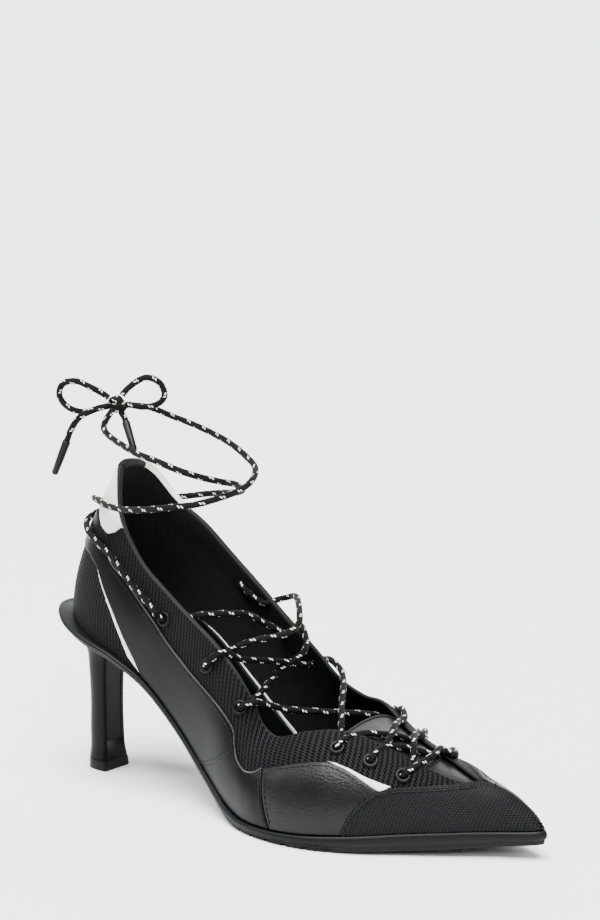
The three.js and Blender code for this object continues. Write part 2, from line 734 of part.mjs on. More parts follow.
function crossing(near, far, arch) {
  const toward = (from, to) => Math.sign(from.q) * lerp(Math.abs(from.q), Math.abs(to.q), 0.2);
  const rims = [rimPoint(toward(near, far)), rimPoint(toward(far, near))];
  const middle = rims[0].clone().add(rims[1]).multiplyScalar(0.5);
  middle.z += arch;
  return solid(roundTube([eyeletStart(near), rims[0], middle, rims[1], eyeletStart(far)], laceRadius, 8));
}

let crossings = null;
for (const [back, front, arch] of CROSSINGS) {
  const pairs = back === front ? [[back, front]] : [[back, front], [front, back]];
  for (const [near, far] of pairs) {
    const strand = crossing(eyelets[near], eyelets[far + 6], arch);
    crossings = crossings ? crossings.add(strand) : strand;
  }
}
addPiece("lace_crossings", geometryOf(crossings), CORD);

// Free lace, routes in millimetres chosen by hand: from the top eyelets back around the heel,
// forward in a standing ring, and back to the bow behind the tab
const KNOT_CENTRE = new THREE.Vector3(21.5, -3, 167.5);
const KNOT_RADIUS = 4.2;
const OUTER_STRAND = [
  [66.0, -30.2, 82.4], [62.7, -29.6, 85.2], [56.1, -28.7, 89.6], [48.0, -27.5, 95.2], [41.6, -26.4, 100.5],
  [34.6, -25.1, 105.4], [27.3, -23.5, 109.0], [20.0, -20.4, 112.1], [12.7, -13.4, 115.3], [10.0, -7.3, 117.2],
  [9.4, -0.8, 118.6], [11.6, 7.2, 120.0], [17.3, 14.5, 121.8], [28.0, 19.6, 124.0], [40.0, 22.4, 125.6],
  [51, 24, 127.5], [61, 22, 129], [71, 16, 130.5], [80, 9, 132], [87, 2, 134.5], [89, -6, 137.5],
  [88.5, -16, 139.5], [84, -25, 142], [77, -31, 145], [68, -33, 148], [57, -31.5, 150], [44, -26, 152.5],
  [32, -20, 155], [25, -15.5, 157.5], [22, -11, 160.5],
];
const INNER_STRAND = [
  [69.6, 28.6, 85.4], [59.9, 27.6, 91.1], [48.9, 26.9, 97.8], [38.5, 25.3, 104.5], [28.6, 22.7, 110.0],
  [19.2, 19.4, 113.6], [11.2, 14.0, 116.9], [7.6, 6.7, 121.3], [8.8, -2.5, 124.3], [14.2, -9.8, 125.8],
  [20.9, -15.6, 126.2], [31, -22.5, 125.6], [45, -29, 125.5], [57, -33, 126.5], [68, -34.8, 128],
  [77, -34, 129.5], [86, -29.5, 131], [92.5, -22, 133.5], [95.5, -12, 136], [95, -2, 139.5], [90, 7, 143.5],
  [80, 13.5, 147.5], [68, 18, 152], [57, 21, 155], [45, 21.5, 158.5], [34, 19, 162], [27, 13, 165.5],
];
const LEFT_LOOP = [
  [16, -5.2, 171.6], [11, -8, 174.5], [5, -11, 177], [-1, -13, 175.5], [-3, -13, 170.5], [1, -12, 165.5],
  [8, -9, 163.5], [14, -6.2, 165.4],
];
const RIGHT_LOOP = [
  [23.6, -0.6, 172.2], [26, 4, 176.5], [30, 8, 179], [35, 11, 176.5], [37, 11.5, 171], [35, 9, 167.5],
  [31, 3.5, 166.3],
];
const LEFT_END = [[20.2, -8.2, 166.6], [16.5, -12.5, 165], [10, -14.5, 161.5], [5.5, -15, 156], [3, -15, 151]];
const RIGHT_END = [[25, -2.4, 162.6], [28.5, -1, 157.5], [31, 0, 152]];
const AGLET_WAYS = [["aglet_left", LEFT_END], ["aglet_right", RIGHT_END]];
const CORD_PIECES = [
  ["ankle_lace_lateral", OUTER_STRAND, 28, null, true],
  ["ankle_lace_medial", INNER_STRAND, 28, null, true],
  ["bow_loop_left", LEFT_LOOP, 8, true, true],
  ["bow_loop_right", RIGHT_LOOP, 8, true, true],
  ["lace_end_left", LEFT_END, 4, true, false],
  ["lace_end_right", RIGHT_END, 3, true, false],
];

const asVector = ([x, y, z]) => new THREE.Vector3(x, y, z);
const knotFace = (toward) => KNOT_CENTRE.clone().addScaledVector(
  toward.clone().sub(KNOT_CENTRE).normalize(), KNOT_RADIUS + GAP);

for (const [name, route, steps, startsAtKnot, endsAtKnot] of CORD_PIECES) {
  const points = route.map(asVector);
  if (startsAtKnot) {
    points.unshift(knotFace(points[0]));
  }
  if (endsAtKnot) {
    points.push(knotFace(points[points.length - 1]));
  }
  addPiece(name, geometryOf(solid(roundTube(points, laceRadius, steps))), CORD);
}
const knot = new THREE.SphereGeometry(KNOT_RADIUS, 14, 8);
knot.translate(KNOT_CENTRE.x, KNOT_CENTRE.y, KNOT_CENTRE.z);
addPiece("bow_knot", geometryOf(solid(knot)), CORD);

for (const [name, route] of AGLET_WAYS) {
  const [before, end] = route.slice(-2).map(asVector);
  const way = end.clone().sub(before).normalize();
  const aglet = new THREE.CylinderGeometry(AGLET_DIAMETER / 2, AGLET_DIAMETER / 2 - 0.3, AGLET_LENGTH, 12);
  aglet.applyQuaternion(new THREE.Quaternion().setFromUnitVectors(new THREE.Vector3(0, -1, 0), way));
  const centre = end.clone().addScaledVector(way, GAP + AGLET_LENGTH / 2);
  aglet.translate(centre.x, centre.y, centre.z);
  addPiece(name, aglet, PLASTIC);
}

// Origin under the middle of the shoe itself, lace left out, with the floor at z = 0
const CORD_NAMES = [...CORD_PIECES.map(([name]) => name), ...AGLET_WAYS.map(([name]) => name), "bow_knot"];
const shoeBox = new THREE.Box3();
for (const mesh of group.children) {
  if (!CORD_NAMES.includes(mesh.name)) {
    shoeBox.expandByObject(mesh, true);
  }
}
const shoeCentre = shoeBox.getCenter(new THREE.Vector3());
for (const mesh of group.children) {
  mesh.geometry.translate(-shoeCentre.x, -shoeCentre.y, -shoeBox.min.z);
}

export default group;
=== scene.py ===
"""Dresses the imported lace-up pump: leather, mesh, rubber, rope lace, camera and light.

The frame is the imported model's: metres, +X to the toe, +Y to the inner side, +Z up.
The last and everything laid on it are worked out in millimetres from the back of the
heel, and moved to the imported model's origin as each mesh is made.
"""

from __future__ import annotations

import logging
import math
from dataclasses import dataclass, field
from enum import Enum

import bmesh
import bpy
import numpy as np
from mathutils import Matrix, Vector
from mathutils.geometry import delaunay_2d_cdt


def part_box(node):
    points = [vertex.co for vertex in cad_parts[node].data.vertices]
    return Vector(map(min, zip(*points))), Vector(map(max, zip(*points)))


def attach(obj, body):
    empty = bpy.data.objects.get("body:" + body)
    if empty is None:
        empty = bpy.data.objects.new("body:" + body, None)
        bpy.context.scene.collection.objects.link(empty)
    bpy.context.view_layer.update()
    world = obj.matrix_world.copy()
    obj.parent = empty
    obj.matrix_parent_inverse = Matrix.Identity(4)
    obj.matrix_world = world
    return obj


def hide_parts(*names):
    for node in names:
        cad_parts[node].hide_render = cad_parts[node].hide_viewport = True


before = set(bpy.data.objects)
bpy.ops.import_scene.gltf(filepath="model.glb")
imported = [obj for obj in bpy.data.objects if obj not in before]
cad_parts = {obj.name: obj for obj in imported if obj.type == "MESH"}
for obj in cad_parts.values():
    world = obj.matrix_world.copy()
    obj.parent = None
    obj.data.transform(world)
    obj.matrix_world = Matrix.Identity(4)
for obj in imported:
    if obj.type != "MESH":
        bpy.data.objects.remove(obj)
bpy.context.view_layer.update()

LOG = logging.getLogger("pump")
MM = 0.001
GAP = 0.3  # air between pieces that sit in one another, in millimetres
FULL_TURN = 2000 * math.pi  # a wave's angle for each millimetre of its length
Points = np.ndarray


class Side(Enum):
    """The two sides of the shoe, as the sign of a place on the last."""

    OUTER = 1
    INNER = -1


# --------------------------------------------------------------------------- last

# x, outer, inner: feather line, in shares of length and ball width
# lift, spring, thick: underside and sole, in shares of heel rise, toe spring, sole thickness
# flare, rim: reach of the sole past the upper, in shares of the flare and the sole's rim
SECTIONS = (
    (0.000, -0.025, -0.025, 1.000, 0.00, 1.00, 1.00, 0.40),
    (0.015, -0.148, 0.099, 0.986, 0.00, 1.00, 0.88, 0.45),
    (0.051, -0.259, 0.216, 0.940, 0.00, 0.92, 0.52, 0.60),
    (0.107, -0.327, 0.284, 0.882, 0.00, 0.82, 0.24, 0.75),
    (0.176, -0.346, 0.290, 0.808, 0.00, 0.74, 0.08, 0.85),
    (0.248, -0.340, 0.259, 0.672, 0.00, 0.74, 0.02, 0.75),
    (0.321, -0.333, 0.228, 0.440, 0.00, 0.78, 0.00, 0.70),
    (0.390, -0.358, 0.241, 0.205, 0.00, 0.84, 0.00, 0.75),
    (0.449, -0.420, 0.296, 0.058, 0.00, 0.96, 0.00, 0.90),
    (0.488, -0.469, 0.346, 0.008, 0.00, 1.02, 0.00, 1.00),
    (0.518, -0.506, 0.383, 0.000, 0.00, 0.98, 0.00, 1.00),
    (0.552, -0.535, 0.420, 0.000, 0.00, 0.97, 0.00, 1.00),
    (0.599, -0.549, 0.451, 0.000, 0.00, 1.02, 0.00, 1.00),
    (0.659, -0.531, 0.451, 0.000, 0.02, 1.18, 0.00, 1.00),
    (0.732, -0.451, 0.414, 0.000, 0.14, 1.34, 0.00, 1.00),
    (0.800, -0.333, 0.346, 0.000, 0.32, 1.42, 0.00, 0.95),
    (0.856, -0.235, 0.265, 0.000, 0.48, 1.40, 0.00, 0.90),
    (0.899, -0.154, 0.204, 0.000, 0.63, 1.34, 0.00, 0.90),
    (0.937, -0.086, 0.142, 0.000, 0.77, 1.24, 0.00, 0.90),
    (0.967, -0.040, 0.089, 0.000, 0.88, 1.18, 0.00, 0.95),
    (0.989, -0.004, 0.053, 0.000, 0.96, 1.16, 0.00, 1.00),
    (1.000, 0.025, 0.025, 0.000, 1.00, 1.16, 0.00, 1.05),
)

# Collar, eyestay edge and toe ridge on the same rows: x, y, rise, outer then inner
EDGES = (
    (0.113, 0.000, 1.000, 0.113, 0.000, 1.000),
    (0.116, -0.096, 0.997, 0.112, 0.104, 0.985),
    (0.131, -0.168, 0.955, 0.134, 0.168, 0.970),
    (0.158, -0.236, 0.783, 0.174, 0.230, 0.858),
    (0.218, -0.284, 0.617, 0.231, 0.266, 0.790),
    (0.287, -0.315, 0.590, 0.291, 0.290, 0.740),
    (0.351, -0.333, 0.685, 0.355, 0.302, 0.790),
    (0.407, -0.346, 0.802, 0.411, 0.309, 0.862),
    (0.456, -0.346, 0.792, 0.458, 0.306, 0.882),
    (0.492, -0.337, 0.677, 0.497, 0.296, 0.826),
    (0.513, -0.333, 0.553, 0.522, 0.284, 0.770),
    (0.544, -0.328, 0.498, 0.552, 0.272, 0.708),
    (0.595, -0.296, 0.550, 0.599, 0.257, 0.650),
    (0.664, -0.253, 0.568, 0.646, 0.232, 0.620),
    (0.736, -0.210, 0.484, 0.711, 0.191, 0.462),
    (0.809, -0.167, 0.366, 0.801, 0.111, 0.353),
    (0.865, -0.117, 0.283, 0.865, 0.031, 0.290),
    (0.905, -0.031, 0.256, 0.905, -0.031, 0.256),
    (0.938, -0.006, 0.207, 0.938, -0.006, 0.207),
    (0.966, 0.012, 0.136, 0.966, 0.012, 0.136),
    (0.983, 0.021, 0.080, 0.983, 0.021, 0.080),
    (0.993, 0.025, 0.026, 0.993, 0.025, 0.026),
)

# row, foot out, foot up, edge out, edge down: bulge of the wall, in shares of its own height
BULGES = (
    (0, 0.00, 0.33, 0.12, 0.20),
    (3, 0.03, 0.35, 0.06, 0.30),
    (6, 0.05, 0.35, 0.08, 0.30),
    (9, 0.04, 0.40, 0.14, 0.22),
    (12, 0.05, 0.50, 0.24, 0.12),
    (15, 0.05, 0.50, 0.28, 0.12),
    (17, 0.04, 0.50, 0.30, 0.14),
    (20, 0.03, 0.40, 0.20, 0.14),
    (21, 0.02, 0.35, 0.10, 0.20),
)
LAST_ROW = len(SECTIONS) - 1
THROAT_ROW = 17  # front end of the opening
CAVITY_ROW = 19.2  # where the lining closes, short of the toe tip
GRID_ALONG, GRID_UP = 421, 41  # points at which the wall is measured
GIRTH_LINE = 18  # line of that grid along which the pattern's length runs


class Row(Enum):
    """Columns of the last's table."""

    FOOT_X = 0
    FOOT_Y = 1
    FOOT_Z = 2
    UNDER = 3
    EDGE_X = 4
    EDGE_Y = 5
    EDGE_Z = 6
    REACH = 7


def unit(vectors: Points) -> Points:
    """Vectors of length one."""
    return vectors / np.maximum(np.linalg.norm(vectors, axis=-1, keepdims=True), 1e-12)


def smooth(value: Points, low: float, high: float) -> Points:
    """Soft step from 0 at low to 1 at high."""
    t = np.clip((np.asarray(value, float) - low) / (high - low), 0.0, 1.0)
    return t * t * (3.0 - 2.0 * t)


@dataclass
class Last:
    """The last's surface: q runs round the shoe by rows, v from feather line to edge."""

    length: float = 233.6
    ball_width: float = 81.0
    heel_rise: float = 71.0
    toe_spring: float = 6.4
    tab_rise: float = 67.0
    sole_thickness: float = 5.0
    sole_rim: float = 2.4
    flare: float = 7.5
    wall: float = 1.7
    collar_pad: float = 1.1
    table: Points = field(init=False)

    def __post_init__(self) -> None:
        """Builds the closed table of rows and the table of lengths along the wall."""
        outer, inner = self._stations(Side.OUTER), self._stations(Side.INNER)
        self.table = np.concatenate([inner[LAST_ROW - 1 : 0 : -1], outer])
        self._q = np.linspace(0.0, LAST_ROW, GRID_ALONG)
        self._v = np.linspace(0.0, 1.0, GRID_UP)
        self._grid = {
            side: self.point(side.value * self._q[:, None], self._v[None, :]) for side in Side
        }
        steps = [
            np.linalg.norm(np.diff(grid[:, GIRTH_LINE], axis=0), axis=1)
            for grid in self._grid.values()
        ]
        self._along = np.concatenate([[0.0], np.cumsum(np.mean(steps, axis=0))])
        self._climb = {}
        for side, grid in self._grid.items():
            rises = np.linalg.norm(np.diff(grid, axis=1), axis=2)
            self._climb[side] = np.pad(np.cumsum(rises, axis=1), ((0, 0), (1, 0)))

    def _stations(self, side: Side) -> Points:
        """Rows of one side: foot point, underside, edge point and reach of the sole.

        Args:
            side: the side of the shoe.

        Returns:
            One row of numbers for each section.
        """
        rows = []
        for section, edge in zip(SECTIONS, EDGES):
            share, outer, inner, lift, spring, thick, flare, rim = section
            across, spot = (outer, edge[:3]) if side is Side.OUTER else (inner, edge[3:])
            under = lift * self.heel_rise + spring * self.toe_spring
            foot = under + thick * self.sole_thickness
            reach = flare * self.flare + rim * self.sole_rim
            rows.append(
                (
                    share * self.length,
                    across * self.ball_width,
                    foot,
                    under,
                    spot[0] * self.length,
                    spot[1] * self.ball_width,
                    foot + spot[2] * self.tab_rise,
                    reach,
                )
            )
        return np.array(rows)

    def at(self, q: Points) -> Points:
        """Table values at places q, by a spline through the rows.

        Args:
            q: places in rows from the back.

        Returns:
            The columns of Row at each place.
        """
        q = np.asarray(q, float)
        base = np.floor(q).astype(int)
        t = (q - base)[..., None]
        rows = len(self.table)
        a, b, c, d = (self.table[(base + k + LAST_ROW - 1) % rows] for k in (-1, 0, 1, 2))
        bend = (2 * a - 5 * b + 4 * c - d) * t**2 + (3 * b - a - 3 * c + d) * t**3
        return 0.5 * (2 * b + (c - a) * t + bend)

    def plan_normal(self, q: Points) -> Points:
        """Outward direction of the feather line in plan.

        Args:
            q: places in rows from the back.

        Returns:
            Level vectors of length one.
        """
        step = 0.05
        run = self.at(q + step)[..., :2] - self.at(q - step)[..., :2]
        flat = np.stack([run[..., 1], -run[..., 0], np.zeros_like(run[..., 0])], axis=-1)
        return unit(flat)

    def point(self, q: Points, v: Points) -> Points:
        """Points of the last's surface.

        Args:
            q: rows from the back, negative on the inner side.
            v: shares of the wall, feather line to edge.

        Returns:
            Points in millimetres.
        """
        q, v = np.broadcast_arrays(np.asarray(q, float), np.asarray(v, float))
        here = self.at(q)
        foot, edge = here[..., 0:3], here[..., 4:7]
        ridge = (np.abs(q) > THROAT_ROW)[..., None]
        edge = np.where(ridge, (edge + self.at(-q)[..., 4:7]) / 2, edge)
        bulges = np.array(BULGES)
        out_low, up_low, out_high, down_high = (
            np.interp(np.abs(q), bulges[:, 0], bulges[:, k])[..., None] for k in (1, 2, 3, 4)
        )
        height = np.linalg.norm(edge - foot, axis=-1, keepdims=True)
        outward, up = self.plan_normal(q), np.array([0.0, 0.0, 1.0])
        low = foot + outward * out_low * height + up * up_low * height
        high = edge + outward * out_high * height - up * down_high * height
        s, w = v[..., None], 1.0 - v[..., None]
        return foot * w**3 + low * 3 * w * w * s + high * 3 * w * s * s + edge * s**3

    def _side_normal(self, q: Points, v: Points) -> Points:
        """Outward normal, each side by itself.

        Args:
            q: rows from the back, negative on the inner side.
            v: shares of the wall, feather line to edge.

        Returns:
            Vectors of length one.
        """
        step = 0.04
        along = self.point(q + step, v) - self.point(q - step, v)
        up = self.point(q, np.minimum(1.0, v + step)) - self.point(q, np.maximum(0.0, v - step))
        return unit(np.cross(along, up))

    def normal(self, q: Points, v: Points) -> Points:
        """Outward normal; both sides share it on the ridge and at the toe tip.

        Args:
            q: rows from the back, negative on the inner side.
            v: shares of the wall, feather line to edge.

        Returns:
            Vectors of length one.
        """
        q, v = np.broadcast_arrays(np.asarray(q, float), np.asarray(v, float))
        tip = np.abs(q) > LAST_ROW - 0.01
        shared = tip | ((v > 0.999) & (np.abs(q) >= THROAT_ROW - 1e-9))
        inset = np.where(tip, np.sign(q) * (LAST_ROW - 0.06), q)
        both = unit(self._side_normal(inset, v) + self._side_normal(-inset, v))
        return np.where(shared[..., None], both, self._side_normal(q, v))

    def offset(self, q: Points, v: Points, distance: Points) -> Points:
        """Points at a distance outside the last; the feather line keeps its height.

        Args:
            q: rows from the back, negative on the inner side.
            v: shares of the wall, feather line to edge.
            distance: distance outward in millimetres.

        Returns:
            Points in millimetres.
        """
        q, v = np.broadcast_arrays(np.asarray(q, float), np.asarray(v, float))
        base = self.point(q, v)
        moved = base + self.normal(q, v) * np.broadcast_to(distance, q.shape)[..., None]
        moved[..., 2] = np.where(v <= 0.0, base[..., 2], moved[..., 2])
        return moved

    def wall_at(self, q: Points, v: Points) -> Points:
        """Wall thickness, padded toward the collar's edge."""
        pad = smooth(9 - np.abs(q), 0, 2) * smooth(v, 0.7, 0.92)
        return self.wall + self.collar_pad * pad

    def inside(self, q: Points, v: Points, extra: float = 0.0) -> Points:
        """Inner face of the upper, which stops short of the toe tip.

        Args:
            q: rows from the back, negative on the inner side.
            v: shares of the wall, feather line to edge.
            extra: further distance inward.

        Returns:
            Points in millimetres.
        """
        q, v = np.broadcast_arrays(np.asarray(q, float), np.asarray(v, float))
        row = np.abs(q)
        squeeze = (CAVITY_ROW - THROAT_ROW) / (LAST_ROW - THROAT_ROW)
        row = np.where(row > THROAT_ROW, THROAT_ROW + (row - THROAT_ROW) * squeeze, row)
        place, depth = np.sign(q) * row, -(self.wall_at(q, v) + extra)
        here = self.offset(place, v, depth)
        closed = (np.abs(q) >= LAST_ROW - 0.001)[..., None]
        return np.where(closed, (here + self.offset(-place, v, depth)) / 2, here)

    def along(self, q: Points) -> Points:
        """Length along the wall from the back seam, the same for both sides."""
        return np.interp(np.abs(q), self._q, self._along)

    def row_at(self, along: Points) -> Points:
        """Place of a length along the wall."""
        return np.interp(along, self._along, self._q)

    def climb(self, q: Points, v: Points, side: Side) -> Points:
        """Length up the wall from the feather line.

        Args:
            q: rows from the back, negative on the inner side.
            v: shares of the wall, feather line to edge.
            side: the side of the shoe.

        Returns:
            Lengths in millimetres.
        """
        row = np.abs(q) / LAST_ROW * (len(self._q) - 1)
        low = np.clip(np.floor(row).astype(int), 0, len(self._q) - 2)
        t = row - low
        col = np.clip(np.asarray(v, float), 0, 1) * (len(self._v) - 1)
        left = np.clip(np.floor(col).astype(int), 0, len(self._v) - 2)
        s = col - left
        table = self._climb[side]
        near = table[low, left] * (1 - s) + table[low, left + 1] * s
        far = table[low + 1, left] * (1 - s) + table[low + 1, left + 1] * s
        return near * (1 - t) + far * t

    def pattern(self, q: Points, v: Points, side: Side) -> Points:
        """Lengths along the wall and down from its edge, in metres, which meet on the ridge.

        Args:
            q: rows from the back, negative on the inner side.
            v: shares of the wall, feather line to edge.
            side: the side of the shoe.

        Returns:
            Two lengths for each point.
        """
        q, v = np.broadcast_arrays(np.asarray(q, float), np.asarray(v, float))
        down = self.climb(q, np.ones_like(v), side) - self.climb(q, v, side)
        return np.stack([self.along(q), side.value * down], axis=-1) * MM

    def place(self, flat: Points, side: Side) -> Points:
        """Places (q, v) of side-view points (x, z), set on the nearest edge where they lie outside.

        Args:
            flat: side-view points in millimetres.
            side: the side of the shoe.

        Returns:
            One (q, v) for each point.
        """
        spots = np.atleast_2d(np.asarray(flat, float))
        grid = self._grid[side][..., [0, 2]].reshape(-1, 2)
        nearest = np.concatenate([
            np.argmin(((grid[None] - block[:, None]) ** 2).sum(axis=2), axis=1)
            for block in np.array_split(spots, max(1, len(spots) // 60))
        ])
        q = self._q[nearest // len(self._v)].copy()
        v = self._v[nearest % len(self._v)].copy()
        step_q, step_v = self._q[1], self._v[1]
        for _ in range(4):
            here = self.point(side.value * q, v)[:, [0, 2]]
            to_q = self.point(side.value * (q + step_q), v)[:, [0, 2]] - here
            back = v > 1.0 - step_v
            beside = np.where(back, v - step_v, v + step_v)
            to_v = self.point(side.value * q, beside)[:, [0, 2]] - here
            to_v = np.where(back[:, None], -to_v, to_v)
            miss = spots - here
            near = (to_q**2).sum(axis=1) + 1e-6
            tall = (to_v**2).sum(axis=1) + 1e-6
            cross = (to_q * to_v).sum(axis=1)
            right_q, right_v = (to_q * miss).sum(axis=1), (to_v * miss).sum(axis=1)
            scale = near * tall - cross**2
            scale = np.where(np.abs(scale) < 1e-9, 1e-9, scale)
            move_q = np.clip((right_q * tall - right_v * cross) / scale, -2, 2) * step_q
            move_v = np.clip((right_v * near - right_q * cross) / scale, -2, 2) * step_v
            q = np.clip(q + move_q, 0, LAST_ROW)
            v = np.clip(v + move_v, 0, 1)
        return np.stack([q, v], axis=1)


LAST = Last()

# Free lace and bow, in millimetres from the back of the heel
KNOT_CENTRE = (21.5, -3.0, 167.5)
OUTER_STRAND = (
    (66.0, -30.2, 82.4), (62.7, -29.6, 85.2), (56.1, -28.7, 89.6), (48.0, -27.5, 95.2),
    (41.6, -26.4, 100.5), (34.6, -25.1, 105.4), (27.3, -23.5, 109.0), (20.0, -20.4, 112.1),
    (12.7, -13.4, 115.3), (10.0, -7.3, 117.2), (9.4, -0.8, 118.6), (11.6, 7.2, 120.0),
    (17.3, 14.5, 121.8), (28.0, 19.6, 124.0), (40.0, 22.4, 125.6), (51, 24, 127.5),
    (61, 22, 129), (71, 16, 130.5), (80, 9, 132), (87, 2, 134.5), (89, -6, 137.5),
    (88.5, -16, 139.5), (84, -25, 142), (77, -31, 145), (68, -33, 148), (57, -31.5, 150),
    (44, -26, 152.5), (32, -20, 155), (25, -15.5, 157.5), (22, -11, 160.5),
)
INNER_STRAND = (
    (69.6, 28.6, 85.4), (59.9, 27.6, 91.1), (48.9, 26.9, 97.8), (38.5, 25.3, 104.5),
    (28.6, 22.7, 110.0), (19.2, 19.4, 113.6), (11.2, 14.0, 116.9), (7.6, 6.7, 121.3),
    (8.8, -2.5, 124.3), (14.2, -9.8, 125.8), (20.9, -15.6, 126.2), (31, -22.5, 125.6),
    (45, -29, 125.5), (57, -33, 126.5), (68, -34.8, 128), (77, -34, 129.5), (86, -29.5, 131),
    (92.5, -22, 133.5), (95.5, -12, 136), (95, -2, 139.5), (90, 7, 143.5), (80, 13.5, 147.5),
    (68, 18, 152), (57, 21, 155), (45, 21.5, 158.5), (34, 19, 162), (27, 13, 165.5),
)
LEFT_LOOP = (
    (16, -5.2, 171.6), (11, -8, 174.5), (5, -11, 177), (-1, -13, 175.5), (-3, -13, 170.5),
    (1, -12, 165.5), (8, -9, 163.5), (14, -6.2, 165.4),
)
RIGHT_LOOP = (
    (23.6, -0.6, 172.2), (26, 4, 176.5), (30, 8, 179), (35, 11, 176.5), (37, 11.5, 171),
    (35, 9, 167.5), (31, 3.5, 166.3),
)
LEFT_END = (
    (20.2, -8.2, 166.6), (16.5, -12.5, 165), (10, -14.5, 161.5), (5.5, -15, 156), (3, -15, 151),
)
RIGHT_END = ((24.4, -2.8, 163.4), (25.8, -2.6, 161.6), (27.3, -3.6, 160.0))


def origin_shift() -> Points:
    """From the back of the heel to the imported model's origin, read off the knot's box.

    Returns:
        The shift in millimetres.
    """
    low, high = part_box("bow_knot")
    centre = (np.array(low) + np.array(high)) / 2 / MM
    return centre - np.array(KNOT_CENTRE)


SHIFT = origin_shift()


def to_row(points: Points) -> Points:
    """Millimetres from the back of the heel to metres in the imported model's frame."""
    return (np.asarray(points, float) + SHIFT) * MM


# --------------------------------------------------------------------------- meshes


@dataclass
class Sheet:
    """Points, faces, pattern lengths and finish numbers of a mesh in the making."""

    points: list = field(default_factory=list)
    faces: list = field(default_factory=list)
    lengths: list = field(default_factory=list)
    finishes: list = field(default_factory=list)

    def grid(
        self, points: Points, lengths: Points | None = None, finish: int = 0, flip: bool = False,
        wrap: bool = False,
    ) -> None:
        """Adds a grid of points as quads.

        Args:
            points: rows by columns by three, in millimetres from the back of the heel.
            lengths: pattern lengths for each point.
            finish: number of the finish on the piece.
            flip: turns the faces over.
            wrap: joins the last column to the first.
        """
        rows, cols = points.shape[:2]
        start = sum(len(block) for block in self.points)
        self.points.append(points.reshape(-1, 3))
        if lengths is None:
            lengths = np.zeros((rows, cols, 2))
        for i in range(rows - 1):
            for j in range(cols if wrap else cols - 1):
                k = (j + 1) % cols
                corners = [(i, j), (i + 1, j), (i + 1, k), (i, k)]
                if flip:
                    corners.reverse()
                self.faces.append([start + r * cols + c for r, c in corners])
                self.lengths.extend(lengths[r, c] for r, c in corners)
                self.finishes.append(finish)

    def triangles(self, points: Points, faces: list, lengths: Points, finish: int = 0) -> None:
        """Adds loose faces with their own points.

        Args:
            points: points in millimetres from the back of the heel.
            faces: numbers of each face's points.
            lengths: pattern lengths for each point.
            finish: number of the finish on the piece.
        """
        start = sum(len(block) for block in self.points)
        self.points.append(np.asarray(points))
        for face in faces:
            self.faces.append([start + k for k in face])
            self.lengths.extend(lengths[k] for k in face)
            self.finishes.append(finish)

    def piece(
        self, name: str, finishes: list, closed: bool = True, merge: float = 2e-6
    ) -> bpy.types.Object:
        """Makes the object: doubles merged, normals outward, smooth with crisp edges.

        Args:
            name: the piece's name.
            finishes: its materials, in order.
            closed: turns all faces outward.
            merge: distance under which points become one, in metres.

        Returns:
            The piece, at the origin.
        """
        mesh = bpy.data.meshes.new(name)
        mesh.from_pydata(to_row(np.concatenate(self.points)).tolist(), [], self.faces)
        layer = mesh.uv_layers.new(name="lengths")
        layer.data.foreach_set("uv", np.asarray(self.lengths, float).ravel())
        mesh.polygons.foreach_set("material_index", self.finishes)
        for finish in finishes:
            mesh.materials.append(finish)
        build = bmesh.new()
        build.from_mesh(mesh)
        bmesh.ops.remove_doubles(build, verts=build.verts, dist=merge)
        bmesh.ops.dissolve_degenerate(build, edges=build.edges, dist=merge)
        if closed:
            bmesh.ops.recalc_face_normals(build, faces=build.faces)
        build.to_mesh(mesh)
        build.free()
        thing = bpy.data.objects.new(name, mesh)
        bpy.context.scene.collection.objects.link(thing)
        soften(thing, 40)
        return thing


def only(thing: bpy.types.Object) -> None:
    """Selects one object and makes it active.

    Args:
        thing: the object.
    """
    bpy.ops.object.select_all(action="DESELECT")
    thing.select_set(True)
    bpy.context.view_layer.objects.active = thing


def soften(thing: bpy.types.Object, degrees: float) -> None:
    """Smooth shading with edges sharper than the angle kept crisp."""
    only(thing)
    bpy.ops.object.shade_smooth_by_angle(angle=math.radians(degrees))


def modify(thing: bpy.types.Object, kind: str, **values: object) -> None:
    """Adds a modifier with its values and applies it.

    Args:
        thing: the object.
        kind: the modifier's type.
        **values: its settings.
    """
    only(thing)
    modifier = thing.modifiers.new(kind.lower(), kind)
    for key, value in values.items():
        setattr(modifier, key, value)
    bpy.ops.object.modifier_apply(modifier=modifier.name)


def joined(name: str, things: list) -> bpy.types.Object:
    """Joins objects into one piece with its own name.

    Args:
        name: the piece's name.
        things: the objects.

    Returns:
        The joined piece.
    """
    bpy.ops.object.select_all(action="DESELECT")
    for thing in things:
        thing.select_set(True)
    bpy.context.view_layer.objects.active = things[0]
    bpy.ops.object.join()
    things[0].name = name
    things[0].data.name = name
    return things[0]


